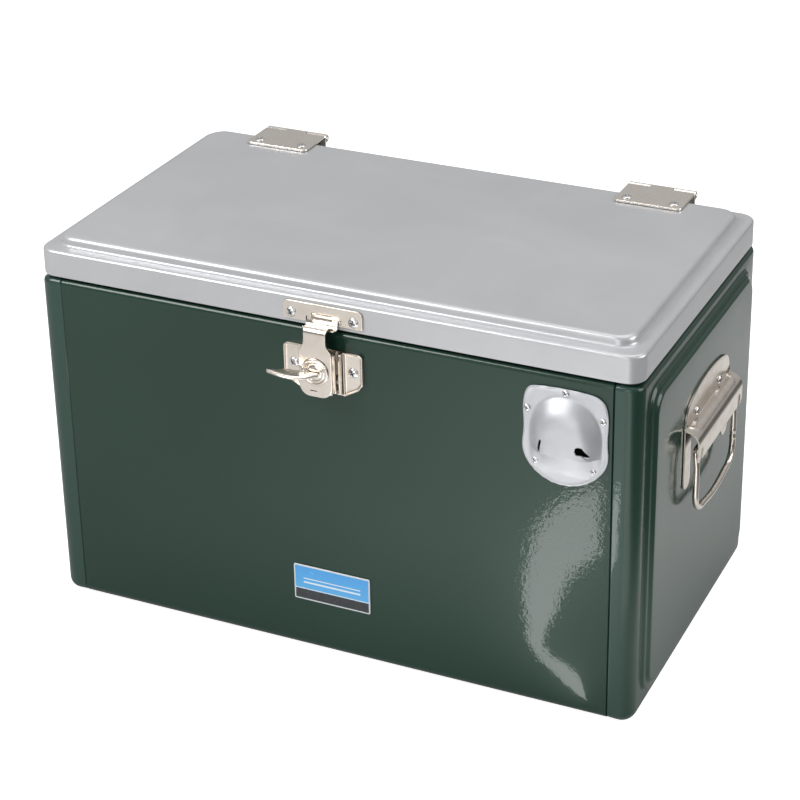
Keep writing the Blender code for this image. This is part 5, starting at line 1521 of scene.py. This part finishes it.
# ================================================================= the studio
def stage_floor():
    bm = bmesh.new()
    bmesh.ops.create_grid(bm, x_segments=8, y_segments=8, size=24.0)
    me = bpy.data.meshes.new("floor")
    bm.to_mesh(me)
    bm.free()
    ob = bpy.data.objects.new("floor", me)
    COLL.objects.link(ob)
    ob.location = (0, 0, -0.0004)
    s = Shader("pale_floor")
    tree = s.tree
    paths = s.put("ShaderNodeLightPath")
    x, y = s.axis("X"), s.axis("Y")
    # mirror-like paint sees a darker floor in front and far off, and a paler one close by on the right
    right = s.math("MULTIPLY", s.remap(x, 0.215, 0.30, 0.0, 1.0), s.remap(x, 0.34, 0.47, 1.0, 0.0))
    far = s.remap(x, 0.34, 0.47, 0.0, 1.0)
    pool = s.math("MULTIPLY", s.remap(s.math("ABSOLUTE", s.math("SUBTRACT", x, 0.03)), 0.05, 0.30, 1.0, 0.0), s.remap(y, -0.16, -0.30))
    near = s.math("SUBTRACT", s.math("ADD", s.remap(right, 0.0, 1.0, 0.51, 0.60), s.math("MULTIPLY", pool, 0.12)), s.math("MULTIPLY", far, 0.40))
    tone = s.math("ADD", s.math("MULTIPLY", paths.outputs["Is Glossy Ray"], s.math("SUBTRACT", near, 0.60)), 0.60)
    grey = s.put("ShaderNodeCombineColor")
    for i in range(3):
        s.into(tone, grey.inputs[i])
    s.set(Base_Color=grey.outputs[0], Roughness=0.8, Specular_IOR_Level=0.1)
    s.set(Emission_Color=(1.0, 1.0, 1.0, 1.0))
    band = s.math("MULTIPLY", s.math("MULTIPLY", s.remap(x, 0.175, 0.20), s.remap(x, 0.34, 0.40, 1.0, 0.0)),
                  s.remap(y, -0.22, -0.28))
    seen = s.math("ADD", s.math("MULTIPLY", s.math("ADD", band, s.math("MULTIPLY", pool, 0.4)), 0.7), s.remap(right, 0.0, 1.0, 0.0, 0.20))
    glow = s.put("ShaderNodeMix", data_type="FLOAT")
    s.into(paths.outputs["Is Camera Ray"], glow.inputs[0])
    s.into(seen, glow.inputs[2])
    s.into(0.86, glow.inputs[3])
    s.set(Emission_Strength=glow.outputs[0])
    me.materials.append(s.mat)


def light(name, location, target, size, power, color=(1, 1, 1), size_y=None, spread=180.0):
    data = bpy.data.lights.new(name, "AREA")
    data.energy, data.color, data.size = power, color, size
    if size_y:
        data.shape, data.size_y = "RECTANGLE", size_y
    data.spread = rad(spread)
    ob = bpy.data.objects.new(name, data)
    COLL.objects.link(ob)
    ob.location = location
    ob.rotation_euler = (Vector(target) - Vector(location)).to_track_quat("-Z", "Y").to_euler()
    return ob


def world():
    w = bpy.data.worlds.new("studio")
    bpy.context.scene.world = w
    w.use_nodes = True
    tree = w.node_tree
    bg = tree.nodes["Background"]
    coord = tree.nodes.new("ShaderNodeTexCoord").outputs["Generated"]
    sep = tree.nodes.new("ShaderNodeSeparateXYZ")
    tree.links.new(coord, sep.inputs[0])

    def mapped(socket, a, b, c, d):
        n = tree.nodes.new("ShaderNodeMapRange")
        tree.links.new(socket, n.inputs["Value"])
        for key, v in (("From Min", a), ("From Max", b), ("To Min", c), ("To Max", d)):
            n.inputs[key].default_value = v
        return n.outputs["Result"]

    up = mapped(sep.outputs["Z"], -0.1, 0.9, 0.32, 0.50)
    front = mapped(sep.outputs["Y"], -0.9, 0.1, 0.55, 1.0)
    mul = tree.nodes.new("ShaderNodeMath")
    mul.operation = "MULTIPLY"
    tree.links.new(up, mul.inputs[0])
    tree.links.new(front, mul.inputs[1])
    pick = tree.nodes.new("ShaderNodeMix")      # the backdrop itself is plain white to the camera
    pick.data_type = "FLOAT"
    pick.inputs[3].default_value = 1.05
    tree.links.new(tree.nodes.new("ShaderNodeLightPath").outputs["Is Camera Ray"], pick.inputs[0])
    tree.links.new(mul.outputs[0], pick.inputs[2])
    tree.links.new(pick.outputs[0], bg.inputs["Strength"])
    bg.inputs["Color"].default_value = (1.0, 1.0, 1.0, 1.0)


def glow_card():
    """Soft curved light low in front, seen only as a reflection in the glossy front sheet."""
    edge = [(0.0932, -0.4207), (0.0773, -0.4035), (0.0697, -0.3814), (0.0684, -0.3523), (0.0751, -0.3145),
            (0.0870, -0.2727), (0.1011, -0.2340), (0.1151, -0.2070), (0.1209, -0.1927), (0.1350, -0.1767),
            (0.1504, -0.1645), (0.1704, -0.1494), (0.1866, -0.1392), (0.1802, -0.1510), (0.1695, -0.1674),
            (0.1574, -0.1755), (0.1447, -0.1809), (0.1333, -0.1924), (0.1281, -0.2097), (0.1268, -0.2348),
            (0.1201, -0.2642), (0.1188, -0.2862), (0.1227, -0.3079), (0.1302, -0.3204)]
    bm = bmesh.new()
    bm.faces.new([bm.verts.new((x, y, 0.002)) for x, y in edge])
    me = bpy.data.meshes.new("glow_card")
    bm.to_mesh(me)
    bm.free()
    ob = bpy.data.objects.new("glow_card", me)
    COLL.objects.link(ob)
    mat = bpy.data.materials.new("glow_card")
    mat.use_nodes = True
    tree = mat.node_tree
    for n in list(tree.nodes):
        if n.type == "BSDF_PRINCIPLED":
            tree.nodes.remove(n)
    em = tree.nodes.new("ShaderNodeEmission")
    em.inputs["Strength"].default_value = 6.3
    tree.links.new(em.outputs[0], tree.nodes["Material Output"].inputs["Surface"])
    me.materials.append(mat)
    ob.visible_camera = ob.visible_diffuse = ob.visible_shadow = ob.visible_transmission = False


def camera():
    data = bpy.data.cameras.new("camera")
    cam = bpy.data.objects.new("camera", data)
    COLL.objects.link(cam)
    x = Vector((0.91595224, 0.40123055, -0.00674864))
    y = Vector((-0.16051862, 0.38175092, 0.91021976))
    z = x.cross(y)
    m = Matrix((x, y, z)).transposed().to_4x4()
    m.translation = Vector((0.62577964, -1.32842155, 0.91134275))
    cam.matrix_world = m
    data.sensor_fit, data.sensor_width = "HORIZONTAL", 36.0
    data.lens = 2260.6904 * 36.0 / 800.0
    data.clip_start, data.clip_end = 0.05, 50.0
    # the view is a crop of a wider frame; the shift holds only while the camera stands at its own place
    for prop, value in (("shift_x", (400 - 453.1276) / 800), ("shift_y", (273.8673 - 400) / 800)):
        setattr(data, prop, value)
        curve = data.driver_add(prop)
        curve.driver.type = "SCRIPTED"
        for tag, kind in (("a", "LOC_X"), ("b", "LOC_Z")):
            var = curve.driver.variables.new()
            var.name, var.type = tag, "TRANSFORMS"
            var.targets[0].id = cam
            var.targets[0].transform_type = kind
            var.targets[0].transform_space = "WORLD_SPACE"
        curve.driver.expression = "%.6f if abs(a - %.6f) + abs(b - %.6f) < 0.004 else 0.0" % (value, m.translation.x,
                                                                                         m.translation.z)
    bpy.context.scene.camera = cam


stage_floor()
world()
glow_card()
light("key", (-0.95, -1.10, 1.55), (0, 0, 0.15), 0.9, 25.0)
light("top", (0.15, 0.35, 1.9), (0, 0, 0.2), 1.6, 9.5)
light("side", (1.7, 0.2, 0.9), (0, 0, 0.15), 1.0, 12.0)
light("fill", (0.15, -2.3, 0.75), (0, 0, 0.2), 1.3, 10.5)
camera()
bpy.context.scene.view_settings.view_transform = "Standard"
bpy.context.scene.view_settings.look = "None"

# each carried-over inner part gets its own finish
for node, mat in (("body_insulation", FOAM), ("lid_insulation", FOAM)):
    ob = frame["nodes"][node]
    ob.data.materials.clear()
    ob.data.materials.append(mat)

bpy.context.view_layer.update()
